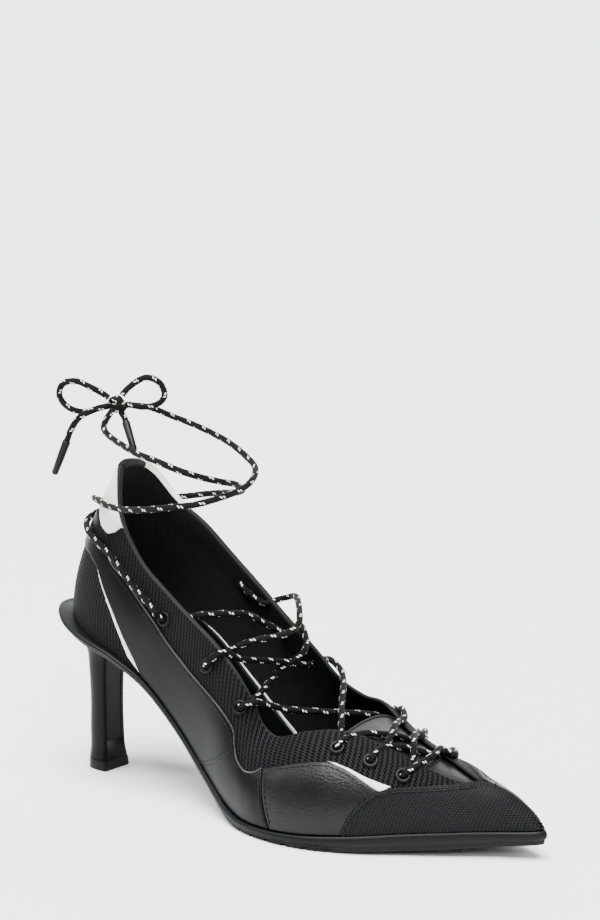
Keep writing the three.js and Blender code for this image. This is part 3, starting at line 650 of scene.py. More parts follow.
def turned(name: str, profile: tuple, sides: int = 24) -> bpy.types.Object:
    """A turned piece round +Z: a circle extruded and resized from ring to ring.

    Args:
        name: the piece's name.
        profile: (radius, height) of each ring in millimetres; the first and last close it.
        sides: points on the circle.

    Returns:
        The piece at the origin.
    """
    bpy.ops.object.select_all(action="DESELECT")
    radius, height = profile[0]
    bpy.ops.mesh.primitive_circle_add(
        vertices=sides, radius=radius * MM, location=(0, 0, height * MM)
    )
    thing = bpy.context.object
    thing.name = name
    bpy.ops.object.transform_apply(location=True, rotation=True, scale=True)
    bpy.ops.object.mode_set(mode="EDIT")
    for next_radius, next_height in profile[1:]:
        bpy.ops.mesh.extrude_region_move(
            TRANSFORM_OT_translate={"value": (0, 0, (next_height - height) * MM)}
        )
        scale = next_radius / radius
        bpy.ops.transform.resize(value=(scale, scale, 1), center_override=(0, 0, next_height * MM))
        radius, height = next_radius, next_height
    bpy.ops.mesh.select_all(action="SELECT")
    bpy.ops.mesh.remove_doubles(threshold=1e-6)
    bpy.ops.mesh.fill_holes(sides=0)
    bpy.ops.mesh.normals_make_consistent(inside=False)
    bpy.ops.object.mode_set(mode="OBJECT")
    return thing


def copy_to(thing: bpy.types.Object, name: str, matrix: Matrix) -> bpy.types.Object:
    """A copy with its own mesh, moved by a matrix that is applied to the mesh.

    Args:
        thing: the object.
        name: the copy's name.
        matrix: the move.

    Returns:
        The copy.
    """
    twin = thing.copy()
    twin.data = thing.data.copy()
    twin.name = name
    bpy.context.scene.collection.objects.link(twin)
    twin.data.transform(matrix)
    return twin


def facing(point: Points, direction: Points) -> Matrix:
    """Matrix that sets +Z of a piece along a direction at a point of the last."""
    turn = Vector(direction).to_track_quat("Z", "Y").to_matrix().to_4x4()
    return Matrix.Translation(Vector(to_row(point))) @ turn


def dress(thing: bpy.types.Object, slot: str, *nodes: str) -> bpy.types.Object:
    """Rides the piece on the shoe and hides the solids that it stands for.

    Args:
        thing: the object.
        slot: material slot of the part; not used.
        *nodes: solids that it stands for.

    Returns:
        The same object.
    """
    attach(thing, "root")
    if nodes:
        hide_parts(*nodes)
    LOG.info("%s: %d faces", thing.name, len(thing.data.polygons))
    return thing


def route(points: tuple, step: float = 1.0) -> Points:
    """A smooth line through points, with its own points a step apart.

    Args:
        points: the points that it passes, in millimetres.
        step: length between the new points.

    Returns:
        The new points.
    """
    spots = np.asarray(points, float)
    spots = np.concatenate([[2 * spots[0] - spots[1]], spots, [2 * spots[-1] - spots[-2]]])
    dense = []
    for k in range(1, len(spots) - 2):
        p0, p1, p2, p3 = spots[k - 1 : k + 3]
        d0, d1, d2 = (
            max(np.linalg.norm(b - a) ** 0.5, 1e-4) for a, b in ((p0, p1), (p1, p2), (p2, p3))
        )
        m1 = ((p1 - p0) / d0 - (p2 - p0) / (d0 + d1) + (p2 - p1) / d1) * d1
        m2 = ((p2 - p1) / d1 - (p3 - p1) / (d1 + d2) + (p3 - p2) / d2) * d1
        t = np.linspace(0, 1, 24, endpoint=False)[:, None]
        dense.append(
            p1 * (2 * t**3 - 3 * t**2 + 1) + m1 * (t**3 - 2 * t**2 + t)
            + p2 * (3 * t**2 - 2 * t**3) + m2 * (t**3 - t**2)
        )
    line = np.concatenate(dense + [spots[-2:-1]])
    run = np.concatenate([[0], np.cumsum(np.linalg.norm(np.diff(line, axis=0), axis=1))])
    marks = np.linspace(0, run[-1], max(2, int(round(run[-1] / step)) + 1))
    return np.stack([np.interp(marks, run, line[:, k]) for k in range(3)], axis=1)


def tube(
    line: Points, radius: float, sides: int = 12, finish: int = 0, sheet: Sheet | None = None
) -> Sheet:
    """Round tube along a line, capped at both ends, with lengths along and round it.

    Args:
        line: points of the middle line.
        radius: radius in millimetres.
        sides: points on a ring.
        finish: number of the finish on the piece.
        sheet: mesh to add to, or none for a new one.

    Returns:
        The mesh in the making.
    """
    sheet = sheet or Sheet()
    tangents = unit(np.gradient(line, axis=0))
    side = unit(np.cross(tangents[0], [0.31, 0.17, 0.94]))
    run = np.concatenate([[0], np.cumsum(np.linalg.norm(np.diff(line, axis=0), axis=1))])
    turn = np.linspace(0, 2 * math.pi, sides + 1)
    rings, lengths = [], []
    for spot, tangent, mark in zip(line, tangents, run):
        side = unit(side - tangent * np.dot(side, tangent))
        up = np.cross(tangent, side)
        ring = np.cos(turn)[:, None] * side + np.sin(turn)[:, None] * up
        rings.append(spot + radius * ring)
        lengths.append(np.stack([np.full(sides + 1, mark * MM), turn / (2 * math.pi)], axis=1))
    rings, lengths = np.array(rings), np.array(lengths)
    sheet.grid(rings, lengths, finish, flip=True)
    for end, index in ((line[0], 0), (line[-1], -1)):
        fan = np.stack([np.repeat(end[None], sides + 1, axis=0), rings[index]])
        sheet.grid(fan, np.stack([lengths[index], lengths[index]]), finish, flip=index == -1)
    return sheet


# --------------------------------------------------------------------------- finishes


class Sketch:
    """A material's nodes, drawn by short calls."""

    def __init__(self, name: str) -> None:
        """Starts a material with its shader."""
        self.material = bpy.data.materials.new(name)
        self.material.use_nodes = True
        self.tree = self.material.node_tree
        self.shader = self.tree.nodes["Principled BSDF"]

    def node(self, kind: str, inputs: dict | None = None, **settings: object) -> bpy.types.Node:
        """Adds a node; inputs are values or sockets by name or number.

        Args:
            kind: the node's type.
            inputs: values or sockets.
            **settings: the node's own settings.

        Returns:
            The node.
        """
        made = self.tree.nodes.new(kind)
        for key, value in settings.items():
            setattr(made, key, value)
        for key, value in (inputs or {}).items():
            self.feed(made.inputs[key], value)
        return made

    def feed(self, socket: bpy.types.NodeSocket, value: object) -> None:
        """Links a socket or sets its value.

        Args:
            socket: the input.
            value: number, colour or socket.
        """
        if isinstance(value, bpy.types.NodeSocket):
            self.tree.links.new(value, socket)
        else:
            socket.default_value = value

    def math(self, operation: str, *values: object) -> bpy.types.NodeSocket:
        """One step of arithmetic."""
        made = self.node("ShaderNodeMath", dict(enumerate(values)), operation=operation)
        return made.outputs[0]

    def soft(self, value: object, low: float, high: float) -> bpy.types.NodeSocket:
        """Soft step from 0 at low to 1 at high.

        Args:
            value: number or socket.
            low: where the step starts.
            high: where the step ends.

        Returns:
            The socket of the step.
        """
        made = self.node(
            "ShaderNodeMapRange", {"Value": value, "From Min": low, "From Max": high},
            interpolation_type="SMOOTHSTEP",
        )
        return made.outputs["Result"]

    def lengths(self) -> tuple:
        """The piece's own lengths along and across, in metres."""
        split = self.node(
            "ShaderNodeSeparateXYZ", {0: self.node("ShaderNodeTexCoord").outputs["UV"]}
        )
        return split.outputs[0], split.outputs[1]

    def place(self) -> bpy.types.NodeSocket:
        """The place in the shoe's frame, in metres."""
        return self.node("ShaderNodeTexCoord").outputs["Object"]

    def noise(self, scale: float, detail: float = 2.0, rough: float = 0.5) -> bpy.types.NodeSocket:
        """Soft noise with features a share of a metre.

        Args:
            scale: features in a metre.
            detail: layers of detail.
            rough: share of the fine layers.

        Returns:
            The noise's socket.
        """
        made = self.node(
            "ShaderNodeTexNoise",
            {"Vector": self.place(), "Scale": scale, "Detail": detail, "Roughness": rough},
        )
        return made.outputs[0]

    def cells(self, scale: float) -> bpy.types.NodeSocket:
        """Distances in a pattern of irregular cells."""
        made = self.node("ShaderNodeTexVoronoi", {"Vector": self.place(), "Scale": scale})
        return made.outputs["Distance"]

    def mix(self, share: object, first: tuple, second: tuple) -> bpy.types.NodeSocket:
        """Mixes two colours.

        Args:
            share: share of the second.
            first: colour or socket.
            second: colour or socket.

        Returns:
            The mixed colour's socket.
        """
        made = self.node("ShaderNodeMix", data_type="RGBA")
        self.feed(made.inputs[0], share)
        self.feed(made.inputs[6], (*first, 1) if isinstance(first, tuple) else first)
        self.feed(made.inputs[7], (*second, 1) if isinstance(second, tuple) else second)
        return made.outputs[2]

    def bump(self, height: object, depth: float, below: object = None) -> bpy.types.NodeSocket:
        """Relief of a depth in millimetres, over another relief.

        Args:
            height: height as a share of the depth.
            depth: depth in millimetres.
            below: the relief under this one.

        Returns:
            The normal's socket.
        """
        made = self.node("ShaderNodeBump", {"Height": height, "Distance": depth * MM})
        if below is not None:
            self.feed(made.inputs["Normal"], below)
        return made.outputs[0]

    def finish(self, **values: object) -> bpy.types.Material:
        """Sets the shader's sockets and returns the material.

        Args:
            **values: the shader's inputs, with underscores for spaces.

        Returns:
            The material.
        """
        for key, value in values.items():
            self.feed(self.shader.inputs[key.replace("_", " ")], value)
        return self.material

    def blend(self, share: object, low: float, high: float) -> bpy.types.NodeSocket:
        """A value between two."""
        return self.math("MULTIPLY_ADD", share, high - low, low)


@dataclass(frozen=True)
class Leather:
    """Leather: grain cells, soft wear and a light coat."""

    name: str
    colour: tuple = (0.0018, 0.0018, 0.0021)
    wear_and_highlight: tuple = (0.0032, 0.0032, 0.0036)
    specular: float = 0.15
    grain: float = 900.0
    depth: float = 0.05
    puckers: float = 0.15
    roughness: float = 0.40
    coat: float = 0.04

    def material(self) -> bpy.types.Material:
        """Builds the finish."""
        draw = Sketch(self.name)
        wear = draw.noise(55, 4, 0.6)
        cells = draw.cells(self.grain)
        fine = draw.noise(self.grain * 2.2, 3)
        relief = draw.bump(cells, self.depth)
        relief = draw.bump(fine, self.depth * 0.5, relief)
        relief = draw.bump(draw.noise(45, 2), self.puckers, relief)
        rough = draw.blend(wear, self.roughness - 0.06, self.roughness + 0.10)
        return draw.finish(
            Base_Color=draw.mix(draw.soft(wear, 0.35, 0.75), self.colour, self.wear_and_highlight),
            Roughness=draw.math("MULTIPLY_ADD", cells, 0.08, rough),
            Specular_IOR_Level=self.specular,
            Normal=relief,
            Coat_Weight=self.coat,
            Coat_Roughness=0.25,
        )


@dataclass(frozen=True)
class WovenLeather:
    """Leather embossed with a small slanted weave; painted shade in its hollows, painted highlight
    on its crests.
    """

    name: str
    pitch_along: float = 1.25
    pitch_across: float = 2.1
    slant: float = 0.75

    def material(self) -> bpy.types.Material:
        """Builds the finish."""
        draw = Sketch(self.name)
        along, across = draw.lengths()
        down = draw.math("ABSOLUTE", across)
        leaned = draw.math("MULTIPLY_ADD", down, self.slant, along)
        turn = FULL_TURN
        wave_a = draw.math("COSINE", draw.math("MULTIPLY", leaned, turn / self.pitch_along))
        wave_b = draw.math("COSINE", draw.math("MULTIPLY", down, turn / self.pitch_across))
        weave = draw.soft(draw.math("MULTIPLY", wave_a, wave_b), -0.55, 0.45)
        relief = draw.bump(weave, 0.22)
        relief = draw.bump(draw.noise(2200, 3), 0.03, relief)
        wear = draw.noise(70, 3)
        return draw.finish(
            # painted shade: the weave's hollows near black; painted highlight: its crests lighter
            Base_Color=draw.mix(weave, (0.0003, 0.0003, 0.0004), (0.0085, 0.0085, 0.0092)),
            Roughness=draw.blend(wear, 0.34, 0.46),
            Specular_IOR_Level=0.10,
            Normal=relief,
        )


@dataclass(frozen=True)
class MeshCloth:
    """Open knitted mesh: staggered holes between raised threads; in the holes, dark lining with
    painted shade.
    """

    name: str
    pitch_along: float = 2.3
    pitch_across: float = 3.0
    lean: float = -1.0
    hole_rim: float = 0.0
    thread: tuple = (0.0095, 0.0095, 0.0100)

    def material(self) -> bpy.types.Material:
        """Builds the finish."""
        draw = Sketch(self.name)
        along, across = draw.lengths()
        turn = FULL_TURN
        down = draw.math("ABSOLUTE", across)
        wander = draw.math("MULTIPLY_ADD", draw.noise(260, 2), 0.0006, along)
        leaned = draw.math("MULTIPLY_ADD", down, self.lean, wander)
        wave_a = draw.math("COSINE", draw.math("MULTIPLY", leaned, turn / self.pitch_along))
        wave_b = draw.math("COSINE", draw.math("MULTIPLY", down, turn / self.pitch_across))
        hole = draw.soft(draw.math("MULTIPLY", wave_a, wave_b), self.hole_rim, self.hole_rim + 0.35)
        threads = draw.math("SUBTRACT", 1.0, hole)
        ply = draw.math("SINE", draw.math("MULTIPLY", draw.math("ADD", along, across), turn / 0.35))
        relief = draw.bump(threads, 0.45)
        relief = draw.bump(ply, 0.02, relief)
        return draw.finish(
            # holes: the dark lining seen through them, darkened further as painted shade
            Base_Color=draw.mix(hole, self.thread, (0.0006, 0.0006, 0.0006)),
            Roughness=draw.blend(hole, 0.55, 0.95),
            Specular_IOR_Level=0.06,
            Normal=relief,
        )


@dataclass(frozen=True)
class WhiteLeather:
    """White leather with a fine grain and slight handling marks."""

    name: str

    def material(self) -> bpy.types.Material:
        """Builds the finish."""
        draw = Sketch(self.name)
        marks = draw.noise(90, 4, 0.6)
        relief = draw.bump(draw.cells(1100), 0.04)
        return draw.finish(
            Base_Color=draw.mix(draw.soft(marks, 0.4, 0.8), (0.82, 0.81, 0.80), (0.72, 0.71, 0.70)),
            Roughness=draw.blend(marks, 0.38, 0.52),
            Normal=relief,
        )


@dataclass(frozen=True)
class Lining:
    """Dark lining cloth with fine upright ribs."""

    name: str
    pitch: float = 1.1
    colour: tuple = (0.003, 0.003, 0.0032)

    def material(self) -> bpy.types.Material:
        """Builds the finish."""
        draw = Sketch(self.name)
        along, _ = draw.lengths()
        ribs = draw.math("SINE", draw.math("MULTIPLY", along, FULL_TURN / self.pitch))
        relief = draw.bump(ribs, 0.06)
        relief = draw.bump(draw.noise(3000, 2), 0.05, relief)
        return draw.finish(
            Base_Color=draw.mix(draw.noise(400, 2), self.colour, (0.006, 0.006, 0.0065)),
            Roughness=0.85,
            Specular_IOR_Level=0.15,
            Normal=relief,
        )


@dataclass(frozen=True)
class Rubber:
    """Matte rubber, with a diamond knurl where the piece's lengths ask for it; painted shade and
    highlight on the knurl.
    """

    name: str
    roughness: float = 0.46
    colour: tuple = (0.0020, 0.0020, 0.0022)
    wear_and_highlight: tuple = (0.0035, 0.0035, 0.0038)
    knurl: bool = False
    pitch: float = 1.9
    slant: float = 18.0
    depth: float = 0.45
    # knurl colours: painted shade in the hollows, painted highlight on the crests
    knurl_hollow_painted_shade: tuple = (0.0003, 0.0003, 0.0003)
    knurl_crest_painted_highlight: tuple = (0.018, 0.018, 0.018)
    knurl_from: float = 0.134
    knurl_to: float = 0.206
    band_low: float = 0.38
    band_high: float = 0.97

    def material(self) -> bpy.types.Material:
        """Builds the finish."""
        draw = Sketch(self.name)
        wear = draw.noise(120, 3)
        relief = draw.bump(draw.noise(1500, 3), 0.02)
        if self.knurl:
            along, down = draw.lengths()
            run = draw.math("MULTIPLY", along, FULL_TURN / self.pitch)
            first = draw.math("SINE", draw.math("MULTIPLY_ADD", down, self.slant, run))
            second = draw.math("SINE", draw.math("MULTIPLY_ADD", down, -self.slant, run))
            teeth = draw.math("MULTIPLY", first, second)
            ends = draw.math(
                "MULTIPLY", draw.soft(along, self.knurl_from, self.knurl_from + 0.006),
                draw.soft(along, self.knurl_to, self.knurl_to - 0.02),
            )
            band = draw.math(
                "MULTIPLY", draw.soft(down, self.band_low, self.band_low + 0.04),
                draw.soft(down, self.band_high + 0.03, self.band_high),
            )
            mask = draw.math("MULTIPLY", ends, band)
            relief = draw.bump(draw.math("MULTIPLY", teeth, mask), self.depth, relief)
            # painted shade in the knurl's hollows and a painted highlight on its crests
            shade = draw.mix(draw.soft(teeth, -0.25, 0.35), self.knurl_hollow_painted_shade, self.knurl_crest_painted_highlight)
            colour = draw.mix(mask, draw.mix(wear, self.colour, self.wear_and_highlight), shade)
        else:
            colour = draw.mix(wear, self.colour, self.wear_and_highlight)
        return draw.finish(
            Base_Color=colour,
            Roughness=draw.blend(wear, self.roughness - 0.05, self.roughness + 0.08),
            Specular_IOR_Level=0.14,
            Normal=relief,
        )


@dataclass(frozen=True)
class Rope:
    """Round braided rope with rows of small paired white flecks; painted shade and highlight on the
    braid.
    """

    name: str
    period: float = 8.8
    around: float = 9.4
    rows: int = 4
    dash: float = 0.33
    gap: float = 0.58
    height: float = 0.56
    slant: float = 0.55
    strands: int = 8
    braid: float = 1.9
    # shade: painted shade in the braid's hollows; the lighter colour after it is a painted highlight
    # on the crests
    shade: tuple = (0.0010, 0.0010, 0.0010)
    wear_and_highlight: tuple = (0.0040, 0.0040, 0.0040)
    fleck: tuple = (0.80, 0.80, 0.79)

    def material(self) -> bpy.types.Material:
        """Builds the finish."""
        draw = Sketch(self.name)
        along, turn = draw.lengths()
        lane = draw.math("MULTIPLY", turn, float(self.rows))
        number = draw.math("FLOOR", lane)
        stagger = draw.math("MULTIPLY", draw.math("MODULO", number, 2.0), 0.5)
        share = draw.math("FRACT", draw.math("MULTIPLY_ADD", along, 1000 / self.period, stagger))
        x = draw.math("MULTIPLY", draw.math("SUBTRACT", share, 0.5), self.period)
        lift = draw.math("SUBTRACT", draw.math("FRACT", lane), 0.5)
        y = draw.math("MULTIPLY", lift, self.around / self.rows)
        leaned = draw.math("MULTIPLY_ADD", y, -self.slant, x)
        marks = None
        for sign in (-1, 1):
            off = draw.math("ABSOLUTE", draw.math("ADD", leaned, sign * self.gap))
            rise = draw.math("ABSOLUTE", draw.math("ADD", y, sign * 0.16))
            dash = draw.math(
                "MULTIPLY", draw.soft(off, self.dash + 0.07, self.dash - 0.07),
                draw.soft(rise, self.height + 0.07, self.height - 0.07),
            )
            marks = dash if marks is None else draw.math("MAXIMUM", marks, dash)
        plait = 2 * math.pi * self.strands
        run = draw.math("MULTIPLY", along, FULL_TURN / self.braid)
        first = draw.math("SINE", draw.math("MULTIPLY_ADD", turn, plait, run))
        second = draw.math("SINE", draw.math("MULTIPLY_ADD", turn, -plait, run))
        braid = draw.math("MULTIPLY", first, second)
        relief = draw.bump(braid, 0.12)
        relief = draw.bump(marks, 0.06, relief)
        # painted shade in the braid's hollows, painted highlight on its crests
        dark = draw.mix(draw.soft(braid, -0.6, 0.8), self.shade, self.wear_and_highlight)
        return draw.finish(
            Base_Color=draw.mix(marks, dark, self.fleck),
            Roughness=0.62,
            Specular_IOR_Level=0.10,
            Normal=relief,
        )


@dataclass(frozen=True)
class Plain:
    """Moulded plastic or thread: one colour with a fine texture."""

    name: str
    colour: tuple = (0.002, 0.002, 0.002)
    roughness: float = 0.4
    specular: float = 0.14
    grain: float = 2500.0
    depth: float = 0.015

    def material(self) -> bpy.types.Material:
        """Builds the finish."""
        draw = Sketch(self.name)
        wear = draw.noise(200, 3)
        bright = tuple(channel * 1.5 for channel in self.colour)
        return draw.finish(
            Base_Color=draw.mix(wear, self.colour, bright),
            Roughness=draw.blend(wear, self.roughness - 0.05, self.roughness + 0.07),
            Specular_IOR_Level=self.specular,
            Normal=draw.bump(draw.noise(self.grain, 3), self.depth),
        )


@dataclass(frozen=True)
class Finishes:
    """All the shoe's materials, made once."""

    smooth_leather: bpy.types.Material
    grained_leather: bpy.types.Material
    toe_cap: bpy.types.Material
    mesh_cloth: bpy.types.Material
    white: bpy.types.Material
    lining: bpy.types.Material
    binding: bpy.types.Material
    rubber: bpy.types.Material
    tread: bpy.types.Material
    lacquer: bpy.types.Material
    rope: bpy.types.Material
    plastic: bpy.types.Material
    thread: bpy.types.Material
    edge_gloss: bpy.types.Material

    @classmethod
    def make(cls) -> Finishes:
        """Builds every finish.

        Returns:
            The finishes.
        """
        return cls(
            smooth_leather=Leather(
                "smooth_leather", grain=2600, depth=0.012, roughness=0.31, specular=0.12, coat=0.03
            ).material(),
            grained_leather=Leather(
                "grained_leather", grain=1050, depth=0.10, roughness=0.34, specular=0.22
            ).material(),
            toe_cap=WovenLeather("woven_leather").material(),
            mesh_cloth=MeshCloth("mesh_cloth").material(),
            white=WhiteLeather("white_leather").material(),
            lining=Lining("lining").material(),
            binding=Plain(
                "binding", colour=(0.005, 0.005, 0.005), roughness=0.65, depth=0.04, specular=0.2
            ).material(),
            rubber=Rubber("rubber").material(),
            tread=Rubber("tread_rubber", knurl=True).material(),
            lacquer=Plain(
                "heel_lacquer", colour=(0.0016, 0.0016, 0.0016), roughness=0.36, specular=0.07
            ).material(),
            rope=Rope("rope").material(),
            plastic=Plain("black_plastic", roughness=0.38).material(),
            edge_gloss=Plain(
                "folded_edge", colour=(0.02, 0.02, 0.02), roughness=0.26, specular=0.5
            ).material(),
            thread=Plain("thread", colour=(0.008, 0.008, 0.008), roughness=0.5).material(),
        )


# --------------------------------------------------------------------------- upper


@dataclass
class Upper:
    """Shell of mesh and lining with leather panels laid on it."""

    columns: int = 176
    heights: int = 30
    roll: int = 6
    peak_row: float = 1.0
    tab_row: float = 3.2

    def shell(self, finishes: Finishes) -> bpy.types.Object:
        """Outer mesh, rolled edge and lining in one closed shell.

        Args:
            finishes: the shoe's materials.

        Returns:
            The shell.
        """
        sheet = Sheet()
        for side in Side:
            along = np.linspace(0, LAST.along(LAST_ROW), self.columns)
            q = LAST.row_at(along)
            q[np.argmin(np.abs(q - THROAT_ROW))] = THROAT_ROW
            v = np.linspace(0, 1, self.heights)
            qq, vv = side.value * q[:, None], v[None, :]
            outer = LAST.offset(qq, vv, 0.0)
            inner = LAST.inside(qq, vv)
            lengths = LAST.pattern(qq, np.broadcast_to(vv, (len(q), len(v))), side)
            flip = side is Side.INNER
            sheet.grid(outer, lengths, 0, flip)
            sheet.grid(inner, lengths, 1, not flip)
            sheet.grid(np.stack([outer[:, 0], inner[:, 0]], axis=1), None, 1, not flip)
            open_rows = q <= THROAT_ROW + 1e-9
            low, high = inner[open_rows, -1], outer[open_rows, -1]
            rise = unit(outer[open_rows, -1] - outer[open_rows, -2])
            fade = smooth(THROAT_ROW - q[open_rows], 0.0, 1.5)[:, None]
            middle, reach = (high + low) / 2, (high - low) / 2
            crown = rise * np.linalg.norm(reach, axis=1, keepdims=True) * fade
            rolled = np.stack(
                [
                    middle + reach * math.cos(turn) + crown * math.sin(turn)
                    for turn in np.linspace(0, math.pi, self.roll)
                ],
                axis=1,
            )
            lip = np.stack([lengths[open_rows, -1]] * self.roll, axis=1)
            tab = np.argmin(np.abs(q[open_rows] - self.tab_row))
            front = 3 if side is Side.INNER else 2
            peak = np.argmin(np.abs(q[open_rows] - self.peak_row))
            sheet.grid(rolled[: peak + 1], lip[: peak + 1], 2, flip)
            sheet.grid(rolled[peak : tab + 1], lip[peak : tab + 1], front, flip)
            sheet.grid(rolled[tab:], lip[tab:], 2, flip)
        piece = sheet.piece(
            "upper_shell", [finishes.mesh_cloth, finishes.lining, finishes.binding, finishes.white]
        )
        return dress(piece, "upper_leather", "upper")


@dataclass
class Panel:
    """A leather panel laid on the upper, cut to an outline in side view.

    The rings round its edge are (inset, share of the step); apart, margin and spacing
    keep the points of the outline and of the filling clear of one another.
    """

    name: str
    outline: tuple
    step: float = 0.7
    sides: tuple = (Side.OUTER, Side.INNER)
    pitch: float = 1.5
    base: float = 0.0
    thickness: float = 0.9
    puff: float = 0.0
    inner_outline: tuple = ()
    rings: tuple = ((0.0, -0.3), (0.12, 0.55), (0.4, 0.92), (0.85, 1.0))
    spacing: float = 1.2
    apart: float = 0.35
    margin: float = 1.35
    puff_reach: float = 9.0

    def _border(self, side: Side) -> Points:
        """The outline's places on the wall, as lengths along and up it.

        Args:
            side: the side of the shoe.

        Returns:
            One (q, v) for each point of the border.
        """
        own = side is Side.INNER and self.inner_outline
        outline = self.inner_outline if own else self.outline
        closed = list(outline) + [outline[0]]
        line = []
        for a, b in zip(closed[:-1], closed[1:]):
            a, b = np.array(a, float), np.array(b, float)
            count = max(1, int(np.linalg.norm(b - a) / self.spacing))
            line.extend(a + (b - a) * k / count for k in range(count))
        return LAST.place(np.array(line), side)

    def _half(self, side: Side, sheet: Sheet) -> None:
        """Triangulates the panel on one side and adds it to the sheet.

        Args:
            side: the side of the shoe.
            sheet: the mesh in the making.
        """
        places = self._border(side)
        flat = self._flat(places, side)
        keep = [0]
        for k in range(1, len(flat)):
            if np.linalg.norm(flat[k] - flat[keep[-1]]) > self.apart:
                keep.append(k)
        if np.linalg.norm(flat[keep[-1]] - flat[0]) < self.apart:
            keep.pop()
        places, flat = places[keep], flat[keep]
        if np.cross(flat, np.roll(flat, -1, axis=0)).sum() < 0:
            places, flat = places[::-1], flat[::-1]
        run = np.roll(flat, -1, axis=0) - np.roll(flat, 1, axis=0)
        inward = unit(np.stack([-run[:, 1], run[:, 0]], axis=1))
        seam = (places[:, 1] > 0.999) & (places[:, 0] >= THROAT_ROW - 0.01)
        seam |= (places[:, 0] > LAST_ROW - 0.02) | (places[:, 0] < 0.01)
        spots = [flat + inward * inset for inset, _ in self.rings]
        heights = [np.where(seam, 1.0, share) for _, share in self.rings]
        low, high = flat.min(axis=0), flat.max(axis=0)
        mesh_x, mesh_y = np.meshgrid(
            np.arange(low[0], high[0], self.pitch), np.arange(low[1], high[1], self.pitch * 0.87)
        )
        mesh_x[1::2] += self.pitch / 2
        inner = np.stack([mesh_x.ravel(), mesh_y.ravel()], axis=1)
        inner = inner[self._depth(inner, flat) > self.margin]
        points = np.concatenate(spots + [inner])
        share = np.concatenate(heights + [np.ones(len(inner))])
        size = len(flat)
        loop = list(range(size))
        made = delaunay_2d_cdt([Vector(p) for p in points], [], [loop], 1, 1e-6)
        origin = [ids[0] if ids else 0 for ids in made[3]]
        spread = np.array([tuple(p) for p in made[0]])
        share = share[origin]
        q = LAST.row_at(spread[:, 0])
        top = LAST.climb(q, np.ones(len(q)), side)
        v = np.clip(self._v_at(q, spread[:, 1], side), 0.0, 1.0)
        v = np.where(spread[:, 1] >= top - 1e-3, 1.0, v)
        v = np.where(spread[:, 1] <= 1e-3, 0.0, v)
        swell = self.puff * smooth(self._depth(spread, flat), 0.0, self.puff_reach)
        height = self.base + (self.step - self.base) * share + swell
        solid = LAST.offset(side.value * q, v, height)
        lengths = LAST.pattern(q, v, side)
        faces = [list(face) for face in made[2]]
        if side is Side.INNER:
            faces = [face[::-1] for face in faces]
        sheet.triangles(solid, faces, lengths)

    def _flat(self, places: Points, side: Side) -> Points:
        """Lengths along and up the wall for places on it.

        Args:
            places: one (q, v) for each point.
            side: the side of the shoe.

        Returns:
            Two lengths for each point, in millimetres.
        """
        return np.stack(
            [LAST.along(places[:, 0]), LAST.climb(places[:, 0], places[:, 1], side)], axis=1
        )

    def _v_at(self, q: Points, climb: Points, side: Side) -> Points:
        """Share v at a length up the wall, by halving.

        Args:
            q: rows from the back, negative on the inner side.
            climb: lengths up the wall in millimetres.
            side: the side of the shoe.

        Returns:
            One share for each place.
        """
        low, high = np.zeros(len(q)), np.ones(len(q))
        for _ in range(14):
            middle = (low + high) / 2
            above = LAST.climb(q, middle, side) > climb
            high = np.where(above, middle, high)
            low = np.where(above, low, middle)
        return (low + high) / 2

    def _depth(self, points: Points, border: Points) -> Points:
        """Distance inside the border, negative outside.

        Args:
            points: flat points.
            border: flat points of the closed border.

        Returns:
            One distance for each point.
        """
        ends = np.roll(border, -1, axis=0)
        run = ends - border
        best = np.full(len(points), 1e9)
        inside = np.zeros(len(points), bool)
        for a, b, d in zip(border, ends, run):
            t = np.clip(((points - a) @ d) / max(d @ d, 1e-9), 0, 1)
            best = np.minimum(best, np.linalg.norm(points - (a + t[:, None] * d), axis=1))
            crosses = (a[1] > points[:, 1]) != (b[1] > points[:, 1])
            with np.errstate(divide="ignore", invalid="ignore"):
                x = a[0] + (points[:, 1] - a[1]) * d[0] / (d[1] if d[1] else 1e-12)
            inside ^= crosses & (points[:, 0] < x)
        return np.where(inside, best, -best)

    def build(self, finish: bpy.types.Material, slot: str = "upper_leather") -> bpy.types.Object:
        """Lays the panel on both sides and gives it thickness.

        Args:
            finish: the panel's material.
            slot: material slot of the part.

        Returns:
            The panel.
        """
        sheet = Sheet()
        for side in self.sides:
            self._half(side, sheet)
        piece = sheet.piece(self.name, [finish], closed=False, merge=6e-5)
        modify(piece, "SOLIDIFY", thickness=self.thickness * MM, offset=-1.0)
        soften(piece, 50)
        return dress(piece, slot)


# Seams in side view: x from the back of the heel, z over the floor
MESH_SEAM = (
    (33.5, 104.0), (35.9, 100.4), (44.7, 94.3), (55.2, 85.4), (63.6, 78.0), (71.9, 69.8),
    (84.3, 59.9), (95.4, 52.6), (104.3, 45.8), (109.7, 39.7), (111.6, 33.2), (114.2, 28.0),
    (119.0, 24.9), (123.5, 25.3), (127.0, 27.3),
)
VAMP_SEAM = ((127.0, 27.3), (129.6, 20.5), (132.5, 13.0), (134.9, 6.9), (136.4, 0.0))
VAMP_TOP = (
    (127.3, 27.6), (133.5, 29.7), (140.4, 31.6), (150.4, 33.9), (156.0, 34.5), (163.4, 33.0),
    (170.2, 29.9), (176.5, 26.4), (179.5, 24.6),
)
CAP_EDGE = (
    (212.4, 28.5), (207.5, 28.5), (199.1, 28.0), (192.7, 27.6), (186.5, 27.3), (181.7, 26.9),
    (176.3, 24.9), (172.1, 20.9), (168.6, 15.8), (165.9, 9.2), (164.6, 0.0),
)
SHANK_SEAM = (
    (86.5, 20.6), (88.8, 21.4), (94.7, 23.5), (100.8, 26.3), (104.9, 29.4), (108.7, 32.3),
    (110.6, 33.9),
)
WEDGE_FRONT = ((27.4, 97.6), (33.0, 89.2), (39.9, 79.5), (47.2, 68.1), (51.8, 60.9), (56.6, 53.0))
WEDGE_BACK = ((55.4, 54.4), (48.6, 61.2), (45.0, 68.2), (38.3, 79.6), (32.3, 89.2), (27.1, 97.6))


